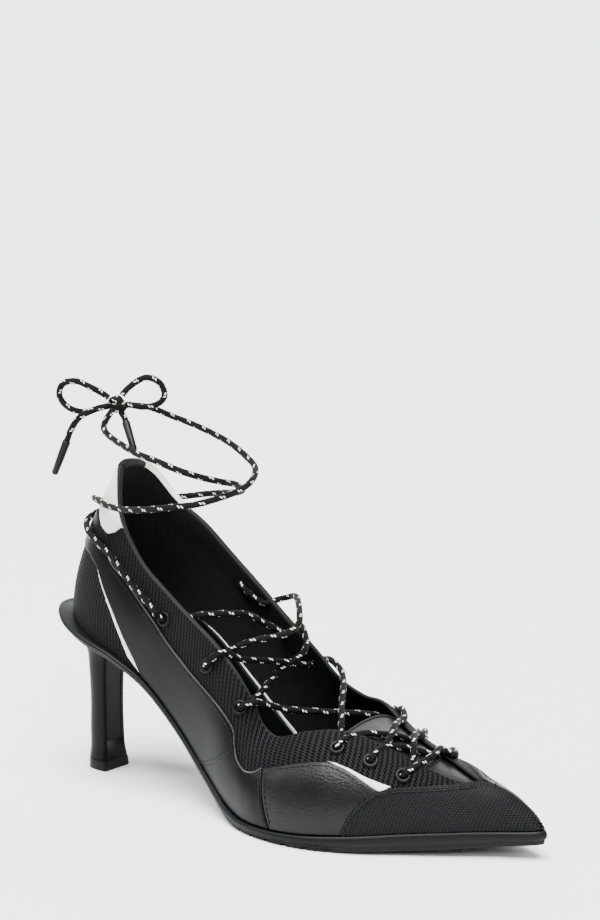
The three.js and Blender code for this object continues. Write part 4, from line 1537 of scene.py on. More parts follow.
@dataclass
class Panels:
    """All the leather laid on the mesh shell."""

    cap_step: float = 1.3

    def build(self, finishes: Finishes) -> list:
        """Builds the panels from the back to the toe.

        Args:
            finishes: the shoe's materials.

        Returns:
            The panels.
        """
        quarter = MESH_SEAM + VAMP_SEAM[1:] + (
            (136.4, -8.0), (60.0, 20.0), (58.5, 48.0)
        ) + WEDGE_FRONT[::-1][1:] + (
            (21.0, 102.5), (8.0, 107.5), (8.0, 124.0), (24.0, 118.0), (31.0, 112.0),
        )
        vamp = VAMP_TOP + (
            (177.5, 21.5), (173.0, 15.0), (170.0, 8.0), (169.0, 0.0), (169.0, -8.0), (137.0, -8.0),
        ) + tuple((x + 0.5, z) for x, z in VAMP_SEAM[::-1][:-1])
        cap = CAP_EDGE + ((164.6, -8.0), (250.0, -8.0), (250.0, 45.0), (212.4, 45.0))
        tab = (
            (8.0, 128.0), (19.4, 126.3), (22.6, 119.6), (26.2, 114.8), (31.0, 112.4), (35.0, 113.6),
            (39.4, 116.9), (37.2, 122.5), (33.0, 133.0), (30.6, 141.0), (27.0, 147.0), (8.0, 150.0),
        )
        inner_tab = tab[:6] + (
            (39.0, 116.4), (43.6, 119.6), (40.6, 126.5), (36.4, 134.5), (32.0, 142.0),
            (27.5, 148.0), (8.0, 150.0),
        )
        wedge = WEDGE_FRONT + WEDGE_BACK
        flash = (
            (155.6, 34.9), (160.0, 34.4), (165.5, 32.9), (172.0, 30.4), (181.9, 27.3), (178.9, 25.0),
            (170.2, 29.3), (163.4, 32.5),
        )
        return [
            Panel("quarter_leather", quarter, puff=0.25).build(finishes.smooth_leather),
            Panel("vamp_leather", vamp, puff=0.3).build(finishes.grained_leather),
            Panel("toe_cap", cap, step=self.cap_step, thickness=1.5).build(finishes.toe_cap),
            Panel("heel_tab", tab, step=0.7, inner_outline=inner_tab).build(finishes.white),
            Panel("rear_wedge", wedge, step=0.5, pitch=1.0).build(finishes.white),
            Panel("vamp_flash", flash, step=0.5, pitch=1.0).build(finishes.white),
        ]


@dataclass
class Trim:
    """Binding over the peak, the white edge beside it, seam piping and the inner stripe."""

    peak: float = 1.1
    edge_from: float = 0.7
    edge_to: float = 3.4
    edge_height: float = 2.1
    stripe: tuple = (
        (4.70, 0.240, 0.05), (4.85, 0.247, 0.2), (5.11, 0.258, 0.35), (5.81, 0.280, 0.7),
        (6.47, 0.280, 1.1), (7.12, 0.262, 1.5), (7.67, 0.215, 1.9), (8.20, 0.150, 2.1),
    )

    def _binding(self, finishes: Finishes) -> bpy.types.Object:
        """Rounded black binding on the topline of the heel tab.

        Args:
            finishes: the shoe's materials.

        Returns:
            The binding.
        """
        q = np.linspace(-self.peak, self.peak, 36)
        thick = LAST.wall_at(q, 1.0)[:, None]
        line = LAST.point(q, 1.0) - LAST.normal(q, 1.0) * thick / 2 + np.array([0, 0, -0.4])
        return tube(line, 1.95, 14).piece("peak_binding", [finishes.binding])

    def _white_edge(self, finishes: Finishes) -> bpy.types.Object:
        """White leather that stands a little over the collar beside the peak.

        Args:
            finishes: the shoe's materials.

        Returns:
            The white edge.
        """
        q = -np.linspace(self.edge_from, self.edge_to, 40)
        share = (np.abs(q) - self.edge_from) / (self.edge_to - self.edge_from)
        tall = self.edge_height * np.sin(math.pi * share) ** 0.6
        foot = LAST.offset(q, 1.0, -0.3)
        rise = unit(LAST.point(q, 1.0) - LAST.point(q, 0.96))
        steps = [foot + rise * (tall * k - 1.2 * (1 - k))[:, None] for k in (0.0, 0.5, 1.0)]
        sheet = Sheet()
        sheet.grid(np.stack(steps, axis=1), None, 0)
        piece = sheet.piece("tab_edge", [finishes.white], closed=False)
        modify(piece, "SOLIDIFY", thickness=0.9 * MM, offset=0.0)
        soften(piece, 50)
        return piece

    def _inner_stripe(self, finishes: Finishes) -> list:
        """White stripe on the inside wall, with the smooth band under it.

        Args:
            finishes: the shoe's materials.

        Returns:
            The stripe and the band.
        """
        table = np.array(self.stripe)
        q = np.linspace(table[0, 0], table[-1, 0], 40)
        v = np.interp(q, table[:, 0], table[:, 1])
        width = np.interp(q, table[:, 0], table[:, 2])
        tall = LAST.climb(q, np.ones_like(q), Side.INNER)
        rows = [LAST.inside(-q, v + k * width / tall, 0.35) for k in (-0.5, 0.0, 0.5)]
        sheet = Sheet()
        sheet.grid(np.stack(rows, axis=1), None, 0)
        stripe = sheet.piece("inner_stripe", [finishes.white], closed=False)
        modify(stripe, "SOLIDIFY", thickness=0.5 * MM, offset=0.0)
        band = Sheet()
        q = np.linspace(3.6, 11.0, 60)
        v = np.interp(q, table[:, 0], table[:, 1])
        v = v * smooth(q, 3.4, 4.6)
        rows = [LAST.inside(-q, v * k, 0.22) for k in np.linspace(0.12, 1.0, 6)]
        band.grid(np.stack(rows, axis=1), None, 0)
        smooth_band = band.piece("inner_band", [finishes.smooth_leather], closed=False)
        modify(smooth_band, "SOLIDIFY", thickness=0.4 * MM, offset=0.0)
        return [stripe, smooth_band]

    def _piping(self, finishes: Finishes) -> bpy.types.Object:
        """Thin folded edge along the seam between mesh and leather.

        Args:
            finishes: the shoe's materials.

        Returns:
            The piping of both sides.
        """
        sheet = Sheet()
        for side in Side:
            line = route([(x, 0.0, z) for x, z in MESH_SEAM], 0.8)
            places = LAST.place(line[:, [0, 2]], side)
            tube(LAST.offset(side.value * places[:, 0], places[:, 1], 0.62), 0.34, 8, 0, sheet)
            line = route([(x, 0.0, z) for x, z in SHANK_SEAM], 0.8)
            places = LAST.place(line[:, [0, 2]], side)
            tube(LAST.offset(side.value * places[:, 0], places[:, 1], 0.85), 0.36, 8, 1, sheet)
            line = route([(x + 1.5, 0.0, z - 1.8) for x, z in CAP_EDGE[1:-1]], 0.8)
            places = LAST.place(line[:, [0, 2]], side)
            tube(LAST.offset(side.value * places[:, 0], places[:, 1], 1.15), 0.42, 8, 1, sheet)
        return sheet.piece("seam_piping", [finishes.edge_gloss, finishes.smooth_leather])

    def build(self, finishes: Finishes) -> None:
        """Builds the trim.

        Args:
            finishes: the shoe's materials.
        """
        pieces = [self._binding(finishes), self._white_edge(finishes), self._piping(finishes)]
        for piece in pieces + self._inner_stripe(finishes):
            dress(piece, "upper_leather")


@dataclass
class Stitches:
    """Rows of small raised stitches along the seams."""

    length: float = 1.9
    pitch: float = 2.5
    radius: float = 0.2
    height: float = 0.1

    def _row(self, flat: tuple, side: Side, lift: float, sheet: Sheet) -> None:
        """Adds one row along a side-view line.

        Args:
            flat: side-view points in millimetres.
            side: the side of the shoe.
            lift: height of the leather over the last.
            sheet: the mesh in the making.
        """
        line = route([(x, 0.0, z) for x, z in flat], 0.5)
        places = LAST.place(line[:, [0, 2]], side)
        solid = LAST.offset(side.value * places[:, 0], places[:, 1], lift + self.height)
        run = np.concatenate([[0], np.cumsum(np.linalg.norm(np.diff(solid, axis=0), axis=1))])
        for start in np.arange(1.0, run[-1] - self.length, self.pitch):
            marks = start + self.length * np.array([0.0, 0.18, 0.5, 0.82, 1.0])
            spots = np.stack([np.interp(marks, run, solid[:, k]) for k in range(3)], axis=1)
            here = [np.interp(marks, run, places[:, k]) for k in (0, 1)]
            away = LAST.normal(side.value * here[0], here[1])
            spots = spots - away * self.height * np.array([2.2, 0.4, 0.0, 0.4, 2.2])[:, None]
            tube(spots, self.radius, 6, 0, sheet)

    def build(self, finishes: Finishes) -> bpy.types.Object:
        """Builds all rows as one piece.

        Args:
            finishes: the shoe's materials.

        Returns:
            The stitches.
        """
        sheet = Sheet()
        for side in Side:
            self._row(tuple((x - 1.2, z - 1.6) for x, z in MESH_SEAM[1:-4]), side, 0.72, sheet)
            for shift in (-1.2, 1.9):
                self._row(tuple((x + shift, z) for x, z in VAMP_SEAM[:-1]), side, 0.8, sheet)
            self._row(tuple((x, z - 1.5) for x, z in VAMP_TOP[1:-2]), side, 0.85, sheet)
            self._row(tuple((x + 0.7, z - 1.5) for x, z in SHANK_SEAM[1:]), side, 0.9, sheet)
            self._row(tuple((x + 0.9, z - 1.1) for x, z in CAP_EDGE[1:-1]), side, 1.35, sheet)
        return dress(sheet.piece("stitches", [finishes.thread]), "upper_leather")


# --------------------------------------------------------------------------- sole and heel


@dataclass
class Sole:
    """Rubber sole with a rounded rim, knurled edge and grooves under the ball."""

    columns: int = 190
    profile: tuple = (
        (0.66, -0.04), (0.78, 0.00), (0.90, 0.06), (0.98, 0.15), (1.00, 0.26), (0.99, 0.38),
        (0.92, 0.49), (0.80, 0.56), (0.69, 0.60), (0.645, 0.66), (0.63, 0.76), (0.60, 0.88),
        (0.54, 0.96), (0.44, 0.995), (0.30, 1.0),
    )
    curl: float = 1.6
    groove_depth: float = 1.2
    groove_width: float = 2.2
    groove_count: int = 8
    groove_turn: float = -0.35

    def _line(self, q: Points, out: float, drop: float) -> Points:
        """One line round the sole's side.

        Args:
            q: rows from the back, negative on the inner side.
            out: share of the sole's reach past the upper.
            drop: share of its thickness, from the top.

        Returns:
            One point for each place.
        """
        here = LAST.at(q)
        top = here[..., Row.FOOT_Z.value] - GAP
        heel = smooth(2.6 - np.abs(q), 0.0, 2.4)
        tuck = 1 - heel * (0.08 + 0.62 * float(smooth(drop, 0.30, 0.95)))
        reach = (here[..., Row.REACH.value] * tuck)[..., None] * out
        spot = here[..., 0:3] + LAST.plan_normal(q) * reach
        spot[..., 2] = top + (here[..., Row.UNDER.value] - top) * drop
        spot[..., 2] += heel * self.curl * float(smooth(out, 0.6, 1.0))
        return spot

    def build(self, finishes: Finishes) -> bpy.types.Object:
        """Builds the sole, with the grooves cut across the tread.

        Args:
            finishes: the shoe's materials.

        Returns:
            The sole.
        """
        sheet = Sheet()
        along = np.linspace(0, LAST.along(LAST_ROW), self.columns)
        q = LAST.row_at(along)
        fills = {}
        for side in Side:
            places = side.value * q
            seat = LAST.inside(places, 0.0, GAP)
            seat[..., 2] -= GAP
            foot = LAST.at(places)[..., 0:3].copy()
            foot[..., 2] -= GAP
            lines = [seat, foot] + [self._line(places, out, drop) for out, drop in self.profile]
            grid = np.stack(lines, axis=1)
            drops = [0.0, 0.0] + [drop for _, drop in self.profile]
            run = np.repeat(along[:, None] * MM, len(drops), axis=1)
            lengths = np.stack([run, np.repeat([drops], len(q), axis=0)], axis=2)
            sheet.grid(grid, lengths, 0, side is Side.INNER)
            fills[side] = grid
        for index, flip in ((0, False), (-1, True)):
            near, far = fills[Side.OUTER][:, index], fills[Side.INNER][:, index]
            share = np.linspace(0, 1, 9)[None, :, None]
            sheet.grid(near[:, None] * (1 - share) + far[:, None] * share, None, 0, flip)
        piece = sheet.piece("rubber_sole", [finishes.tread])
        cutter = self._cutter()
        modify(piece, "BOOLEAN", operation="DIFFERENCE", solver="EXACT", object=cutter)
        bpy.data.objects.remove(cutter)
        soften(piece, 38)
        return dress(piece, "sole_rubber", "outsole")

    def _cutter(self) -> bpy.types.Object:
        """Slanted bars that cut the grooves."""
        bars = []
        for k in range(self.groove_count):
            bpy.ops.object.select_all(action="DESELECT")
            share = k / (self.groove_count - 1)
            x = LAST.length * (0.5 + 0.26 * share)
            bpy.ops.mesh.primitive_cube_add(
                size=1, location=tuple(to_row((x, 0, 0))), rotation=(0, 0, self.groove_turn)
            )
            bar = bpy.context.object
            size = (self.groove_width, 1.3 * LAST.ball_width, 2 * self.groove_depth)
            bar.scale = tuple(length * MM for length in size)
            bpy.ops.object.transform_apply(location=True, rotation=True, scale=True)
            bars.append(bar)
        return joined("groove_cutter", bars)


@dataclass
class Heel:
    """Slim block heel: rounded back, flat breast with a raised border, flared tip."""

    width: float = 16.4
    depth: float = 13.4
    setback: float = 6.0
    lift: float = 4.7
    centre: float = SECTIONS[0][1] * Last.ball_width
    border: float = 1.1
    recess: float = 0.45
    sections: tuple = (
        (0.070, 0.00, 1.00, 0.50), (0.130, 0.03, 0.96, 0.46), (0.260, 0.02, 0.93, 0.44),
        (0.480, 0.03, 0.92, 0.43), (0.660, -0.02, 0.95, 0.46), (0.770, -0.06, 1.05, 0.52),
        (0.850, -0.16, 1.25, 0.66), (0.920, -0.24, 1.70, 0.80), (1.060, -0.30, 2.60, 0.95),
    )

    def _ring(self, back: float, breast: float, half: float, recess: float) -> Points:
        """One ring of the heel, from the breast's outer corner round the back.

        Args:
            back: place of the back, in shares of the depth.
            breast: place of the breast, in shares of the depth.
            half: half width, in shares of the width.
            recess: depth of the breast's panel in millimetres.

        Returns:
            The ring's plan.
        """
        back = self.setback + back * self.depth
        breast = self.setback + breast * self.depth
        half = half * self.width
        turn = np.linspace(-math.pi / 2, math.pi / 2, 33)
        across = np.sign(np.sin(turn)) * np.abs(np.sin(turn)) ** 0.8
        along = np.cos(turn) ** 0.8
        ring = [(breast - 1 + (back - breast + 1) * c, half * s) for c, s in zip(along, across)]
        corner = ((breast - 0.7, half - 0.05), (breast - 0.25, half - 0.35), (breast, half - 0.9))
        rim = half - 0.9 - self.border
        face = ((breast, rim), (breast - recess, rim - 0.5), (breast - recess, 0.0))
        ring += list(corner) + list(face)
        ring += [(x, -y) for x, y in face[-2::-1]] + [(x, -y) for x, y in corner[::-1]]
        return np.array(ring)

    def build(self, finishes: Finishes) -> list:
        """Builds the column and its lift.

        Args:
            finishes: the shoe's materials.

        Returns:
            The column and the top piece.
        """
        table = np.array(self.sections)
        heights = np.unique(np.concatenate([np.linspace(0.07, 1.06, 46), [0.075, 0.08]]))
        low = (self.lift + GAP) / LAST.heel_rise
        rings = []
        for height in heights:
            k = int(np.clip(np.searchsorted(table[:, 0], height) - 1, 0, len(table) - 2))
            values = []
            for column in (1, 2, 3):
                values.append(self._spline(table[:, 0], table[:, column], k, height))
            fade = float(smooth(height, 0.12, 0.2))
            z = max(low, height) * LAST.heel_rise
            plan = self._ring(*values, self.recess * fade)
            rings.append(self._at_height(plan, z))
        grid = np.array(rings)
        roof = np.interp(grid[..., 0], LAST.table[LAST_ROW - 1 :, 0], LAST.table[LAST_ROW - 1 :, 3])
        grid[..., 2] = np.minimum(grid[..., 2], roof + 0.6)
        sheet = Sheet()
        self._close(grid, sheet)
        column = sheet.piece("heel_column", [finishes.lacquer])
        soften(column, 32)
        lift = Sheet()
        profile = (
            (0.0, -0.02, 1.03, 0.515), (0.5, 0.0, 1.05, 0.53),
            (self.lift - 0.5, 0.0, 1.02, 0.515), (self.lift, -0.0, 1.0, 0.50),
        )
        stack = []
        for z, back, breast, half in profile:
            plan = self._ring(back, breast, half, 0.0)
            stack.append(self._at_height(plan, z))
        self._close(np.array(stack), lift)
        top = lift.piece("heel_top_piece", [finishes.rubber])
        return [dress(column, "heel_lacquer", "heel"), dress(top, "sole_rubber", "heel_lift")]

    def _at_height(self, plan: Points, height: float) -> Points:
        """A ring's plan set on the heel's middle line at a height."""
        return np.column_stack([plan[:, 0], plan[:, 1] + self.centre, np.full(len(plan), height)])

    @staticmethod
    def _close(rings: Points, sheet: Sheet) -> None:
        """Adds rings as a side wall with both ends closed.

        Args:
            rings: the rings, from the floor up.
            sheet: the mesh in the making.
        """
        sheet.grid(rings, None, 0, wrap=True)
        for index in (0, -1):
            hub = np.repeat(rings[index].mean(axis=0)[None], rings.shape[1], axis=0)
            sheet.grid(np.stack([hub, rings[index]]), None, 0, wrap=True)

    @staticmethod
    def _spline(marks: Points, values: Points, k: int, at: float) -> float:
        """Value between two marks, smooth over them.

        Args:
            marks: the marks.
            values: value at each mark.
            k: number of the mark before.
            at: where the value is wanted.

        Returns:
            The value.
        """
        slopes = np.gradient(values, marks)
        width = marks[k + 1] - marks[k]
        t = (at - marks[k]) / width
        return float(
            values[k] * (2 * t**3 - 3 * t**2 + 1) + slopes[k] * width * (t**3 - 2 * t**2 + t)
            + values[k + 1] * (3 * t**2 - 2 * t**3) + slopes[k + 1] * width * (t**3 - t**2)
        )


@dataclass
class Sock:
    """Insole sheet with a slight dish."""

    thickness: float = 1.6
    columns: int = 120

    def build(self, finishes: Finishes) -> bpy.types.Object:
        """Builds the sock as a closed sheet between the walls.

        Args:
            finishes: the shoe's materials.

        Returns:
            The sock.
        """
        sheet = Sheet()
        q = LAST.row_at(np.linspace(0, LAST.along(LAST_ROW), self.columns))
        near, far = (LAST.inside(side.value * q, 0.0, GAP) for side in Side)
        share = np.linspace(0, 1, 15)[None, :, None]
        base = near[:, None] * (1 - share) + far[:, None] * share
        top = base.copy()
        dish = np.abs(share[..., 0] * 2 - 1) ** 4 * 0.8
        top[..., 2] += self.thickness + dish * smooth(np.arange(self.columns), 0, 8)[:, None]
        lengths = base[..., :2] * MM
        sheet.grid(top, lengths, 0)
        sheet.grid(base, lengths, 0, flip=True)
        for column in (0, -1):
            edge = np.stack([base[:, column], top[:, column]], axis=1)
            sheet.grid(edge, None, 0, flip=column == -1)
        return dress(sheet.piece("sock", [finishes.lining]), "sock_textile", "insole")


# --------------------------------------------------------------------------- tongue and lace


@dataclass
class Tongue:
    """Short leather tongue arched across the throat, with a piped top edge."""

    front: float = 17.7
    top: float = 13.2
    lean: float = 0.45
    dip: float = 0.2
    flat: float = 0.10
    full: float = 0.36
    thickness: float = 1.6
    rows: int = 26
    points: int = 44

    def _section(self, q: float) -> Points:
        """One arch from wall to wall.

        Args:
            q: place in rows from the back.

        Returns:
            Points from the outer wall to the inner.
        """
        v = np.array([0.62, 0.72, 0.82, 0.91, 1.0])
        depth = -(LAST.wall + GAP + 0.15)
        near, far = LAST.offset(q, v, depth), LAST.offset(-q, v, depth)
        near_way, far_way = unit(near[4] - near[3]), unit(far[4] - far[3])
        rise = self.flat + (self.full - self.flat) * float(smooth(q, 12.8, 14.6))
        span = np.linalg.norm(near[4] - far[4]) * rise
        arch = np.zeros((0, 3))
        if span > 0.5:
            t = np.linspace(0, 1, 13)[1:-1, None]
            a, b, c, d = near[4], near[4] + near_way * span, far[4] + far_way * span, far[4]
            arch = a * (1 - t) ** 3 + b * 3 * (1 - t) ** 2 * t + c * 3 * (1 - t) * t**2 + d * t**3
        line = np.concatenate([near, arch, far[::-1]])
        run = np.concatenate([[0], np.cumsum(np.linalg.norm(np.diff(line, axis=0), axis=1))])
        marks = np.linspace(0, run[-1], self.points + 1)
        return np.stack([np.interp(marks, run, line[:, k]) for k in range(3)], axis=1)

    def build(self, finishes: Finishes) -> list:
        """Builds the tongue and the piping on its edge.

        Args:
            finishes: the shoe's materials.

        Returns:
            The tongue and its piping.
        """
        across = np.linspace(-1, 1, self.points + 1)
        grid = np.zeros((self.rows + 1, self.points + 1, 3))
        for i in range(self.rows + 1):
            for k, a in enumerate(across):
                start = self.top + self.lean * a + self.dip * a * a
                grid[i, k] = self._section(start + (self.front - start) * i / self.rows)[k]
        grid[1:-1] = grid[1:-1] * 0.5 + (grid[:-2] + grid[2:]) * 0.25
        sheet = Sheet()
        sheet.grid(grid, grid[..., :2] * MM, 0)
        piece = sheet.piece("tongue_leather", [finishes.grained_leather], closed=False)
        modify(piece, "SOLIDIFY", thickness=self.thickness * MM, offset=self._outward(piece))
        modify(
            piece, "BEVEL", width=0.45 * MM, segments=3, limit_method="ANGLE",
            angle_limit=math.radians(50),
        )
        soften(piece, 50)
        rim = grid[0] - np.array([0, 0, 0.5])
        cord = tube(route(tuple(rim[2:-2:2]), 1.0), 0.9, 10)
        piping = cord.piece("tongue_piping", [finishes.binding])
        return [dress(piece, "upper_leather", "tongue"), dress(piping, "upper_leather")]

    @staticmethod
    def _outward(piece: bpy.types.Object) -> float:
        """Side on which the thickness grows: always toward the foot."""
        up = sum(face.normal.z * face.area for face in piece.data.polygons)
        return -1.0 if up > 0 else 1.0


# Place along the side and height on the wall, from the heel forward, outer then inner
EYELETS = (
    (5.15, 0.76), (6.90, 0.80), (8.55, 0.82), (13.05, 0.76), (13.85, 0.72), (14.60, 0.68),
    (-5.30, 0.84), (-6.95, 0.86), (-8.50, 0.86), (-13.10, 0.78), (-13.90, 0.74), (-14.65, 0.70),
)


@dataclass
class Eyelets:
    """Twelve plain rings set in the mesh."""

    bore: float = 1.7
    radius: float = 3.3

    def build(self, finishes: Finishes) -> list:
        """Turns one ring and sets a copy at each place.

        Args:
            finishes: the shoe's materials.

        Returns:
            The rings.
        """
        profile = (
            (self.bore, -1.5), (self.bore + 0.45, -1.5), (self.bore + 0.45, 0.3),
            (self.radius, 0.35),
            (self.radius, 0.65), (self.radius - 0.25, 1.0), (self.radius - 0.7, 1.2),
            (self.bore + 0.35, 1.1), (self.bore + 0.05, 0.75), (self.bore, 0.3), (self.bore, -1.5),
        )
        pattern = turned("eyelet_pattern", profile, 32)
        pattern.data.materials.append(finishes.plastic)
        soften(pattern, 50)
        rings = []
        for index, (q, v) in enumerate(EYELETS):
            side = "lateral" if index < 6 else "medial"
            node = f"eyelet_{side}_{index % 6 + 1}"
            matrix = facing(LAST.point(q, v), LAST.normal(q, v))
            ring = copy_to(pattern, node.replace("eyelet", "ring"), matrix)
            rings.append(dress(ring, "black_plastic", node))
        bpy.data.objects.remove(pattern)
        return rings


@dataclass
class Lace:
    """One rope: through the eyelets, round the heel, in a standing ring and a bow."""

    radius: float = 1.4
    diameter: float = 3.0
    aglet_length: float = 17.0
    aglet_radius: float = 1.8
    knot_radius: float = 4.2

    def _eye(self, index: int, height: float) -> Points:
        """A point on an eyelet's axis, at a height over the wall."""
        q, v = EYELETS[index]
        return LAST.point(q, v) + LAST.normal(q, v) * height

    def _through(self, index: int, inward: bool, toward: tuple) -> list:
        """Points that carry the rope through an eyelet, leaning outside toward a point.

        Args:
            index: the eyelet's number.
            inward: whether the rope goes in there.
            toward: the point that it leans to.

        Returns:
            Three points.
        """
        hole = self._eye(index, 0.4)
        lean = unit(np.asarray(toward, float) - hole)
        spots = [
            self._eye(index, 1.9) + lean * 1.8, self._eye(index, 0.9) + lean * 0.3,
            self._eye(index, -3.4),
        ]
        return spots if inward else spots[::-1]

    def _over(self, q: float, lift: float = 1.7) -> Points:
        """A point over the topline at a place."""
        away = LAST.normal(q, 1.0) * 0.6 + np.array([0, 0, 1.0])
        return LAST.point(q, 1.0) + unit(away) * lift

    def crossings(self, finishes: Finishes) -> bpy.types.Object:
        """The rope across the throat, eyelet by eyelet, in one run.

        Args:
            finishes: the shoe's materials.

        Returns:
            The rope across the throat.
        """
        over = self._over
        spots = self._through(0, True, (62.7, -29.6, 85.2))
        spots += [(77, -24, 82), (87, -14, 83), (94, -4, 82), (95, 5, 78), (102, 15, 71)]
        spots += self._through(7, False, over(-7.5))
        spots += [over(-7.5), (113, 13, 66), (108, 0, 58), (110, -12, 54), (113, -24, 52)]
        spots += self._through(2, False, over(9.1))
        spots += [over(9.1), (122, -15, 47), (135, -4, 45.5), (149, 9, 44)]
        spots += self._through(9, False, over(-13.5))
        spots += [
            over(-13.7), (162.7, 10.4, 43.0), (168.0, -2.5, 44.5), (170.6, -8.5, 43.2),
            (171.7, -15, 39.9),
        ]
        spots += self._through(4, False, (171, -19, 38.8))
        spots += [
            (171, -19.6, 38.6), (172.6, -15.8, 39.4), (176, -11.0, 39.1), (180.2, -5.9, 37.2),
            (184, 0.5, 34.6),
        ]
        spots += self._through(11, False, over(-15.2))
        spots += [
            over(-15.2), (184.8, 9.5, 34.4), (186.6, 2.5, 37.0), (188.0, -5.0, 36.4),
            (187.0, -11.5, 34.6),
        ]
        spots += self._through(5, True, (187, -14, 34.0))
        spots += [
            (182.7, -12, 36.0), (180.0, -7.4, 40.2), (176.5, -1.0, 41.2), (173, 7, 40.0),
            over(-14.3),
        ]
        spots += self._through(10, True, over(-14.3))
        spots += [
            (172.6, 4.0, 37.6), (170.6, -3.0, 40.7), (166.8, -9.6, 42.4), (162.1, -15.3, 43.2),
            (158.6, -20.4, 42.4),
        ]
        spots += self._through(3, True, (158.6, -21.5, 42.0))
        spots += [(149, -13, 45), (142, -2, 50), (135, 10, 54.5), (127, 20, 58), over(-9.4)]
        spots += self._through(8, True, over(-9.4))
        spots += [(113, 13.5, 59.5), (109, 3, 62), (106, -7, 64), (102, -18, 66), over(7.35)]
        spots += self._through(1, True, over(7.35))
        spots += [
            (98, -19, 70), (106, -14, 74), (111, -9, 75), (116, -4, 77), (117, 2, 80), (114, 7, 83),
            (108, 15, 85.5), (100, 24, 86.5), (93, 27.5, 84.5), over(-6.5), (85, 21.5, 82.0),
        ]
        spots += self._through(6, False, (69.6, 28.6, 85.4))
        line = route(tuple(np.asarray(spot, float) for spot in spots), 0.8)
        piece = tube(line, self.radius, 12).piece("throat_lace", [finishes.rope])
        return dress(piece, "lace_cord", "lace_crossings")

    def _free(self, name: str, spots: tuple, finishes: Finishes, *nodes: str) -> tuple:
        """A free length of rope along its route.

        Args:
            name: the piece's name.
            spots: points of the route.
            finishes: the shoe's materials.
            *nodes: solids that it stands for.

        Returns:
            The rope and its line.
        """
        line = route(spots, 1.0)
        piece = dress(tube(line, self.radius, 12).piece(name, [finishes.rope]), "lace_cord", *nodes)
        return piece, line

    def _aglet(self, name: str, route_end: tuple, finishes: Finishes) -> bpy.types.Object:
        """Plastic sleeve on the end of the rope.

        Args:
            name: the piece's name.
            route_end: the route whose end carries it.
            finishes: the shoe's materials.

        Returns:
            The sleeve.
        """
        r, h = self.aglet_radius, self.aglet_length
        profile = (
            (r - 0.35, 0.0), (r, 0.3), (r, 1.2), (r - 0.12, h * 0.5), (r - 0.3, h - 0.7),
            (r - 0.8, h),
        )
        piece = turned(name, profile, 20)
        before, end = (np.array(point, float) for point in route_end[-2:])
        piece.data.transform(facing(end + unit(end - before) * GAP, end - before))
        piece.data.materials.append(finishes.plastic)
        soften(piece, 40)
        return dress(piece, "black_plastic", name.replace("sleeve", "aglet"))

    def _knot(self, finishes: Finishes) -> bpy.types.Object:
        """Three turns of rope pulled tight round each other.

        Args:
            finishes: the shoe's materials.

        Returns:
            The knot.
        """
        sheet = Sheet()
        centre = np.array(KNOT_CENTRE)
        turn = np.linspace(0, 2 * math.pi, 40)
        for tilt, reach, squash in ((0.35, 3.0, 0.75), (1.35, 2.7, 0.85), (-0.8, 2.8, 0.7)):
            across = reach * np.sin(turn)
            ring = [reach * np.cos(turn), across * squash * math.cos(tilt), across * math.sin(tilt)]
            tube(centre + np.stack(ring, axis=1), self.radius * 0.95, 10, 0, sheet)
        return dress(sheet.piece("knot", [finishes.rope], closed=False), "lace_cord", "bow_knot")

    def build(self, finishes: Finishes) -> list:
        """Args:
            finishes: the shoe's materials.

        Returns:
            All the pieces of rope and the sleeves.
        """
        knot = self._knot(finishes)
        crossings = self.crossings(finishes)
        outer, outer_line = self._free(
            "ankle_lace_outer", self._to_knot(OUTER_STRAND), finishes, "ankle_lace_lateral"
        )
        inner, inner_line = self._free(
            "ankle_lace_inner", self._to_knot(INNER_STRAND), finishes, "ankle_lace_medial"
        )
        left, left_line = self._free(
            "bow_lace_left", self._bow(LEFT_LOOP, LEFT_END), finishes,
            "bow_loop_left", "lace_end_left",
        )
        right, right_line = self._free(
            "bow_lace_right", self._bow(RIGHT_LOOP, RIGHT_END), finishes,
            "bow_loop_right", "lace_end_right",
        )
        sleeve_left = self._aglet("sleeve_left", LEFT_END, finishes)
        sleeve_right = self._aglet("sleeve_right", RIGHT_END, finishes)
        return [knot, crossings, outer, inner, left, right, sleeve_left, sleeve_right]

    def _knot_face(self, toward: tuple) -> tuple:
        """Where a route meets the knot."""
        centre = np.array(KNOT_CENTRE)
        return tuple(centre + unit(np.array(toward, float) - centre) * (self.knot_radius + GAP))

    def _to_knot(self, strand: tuple) -> tuple:
        """A strand carried on to the knot's face."""
        return strand + (self._knot_face(strand[-1]),)

    def _bow(self, loop: tuple, end: tuple) -> tuple:
        """A loop out of the knot and back, then an end out of it."""
        return (self._knot_face(loop[0]),) + self._to_knot(loop) + (self._knot_face(end[0]),) + end


# --------------------------------------------------------------------------- studio


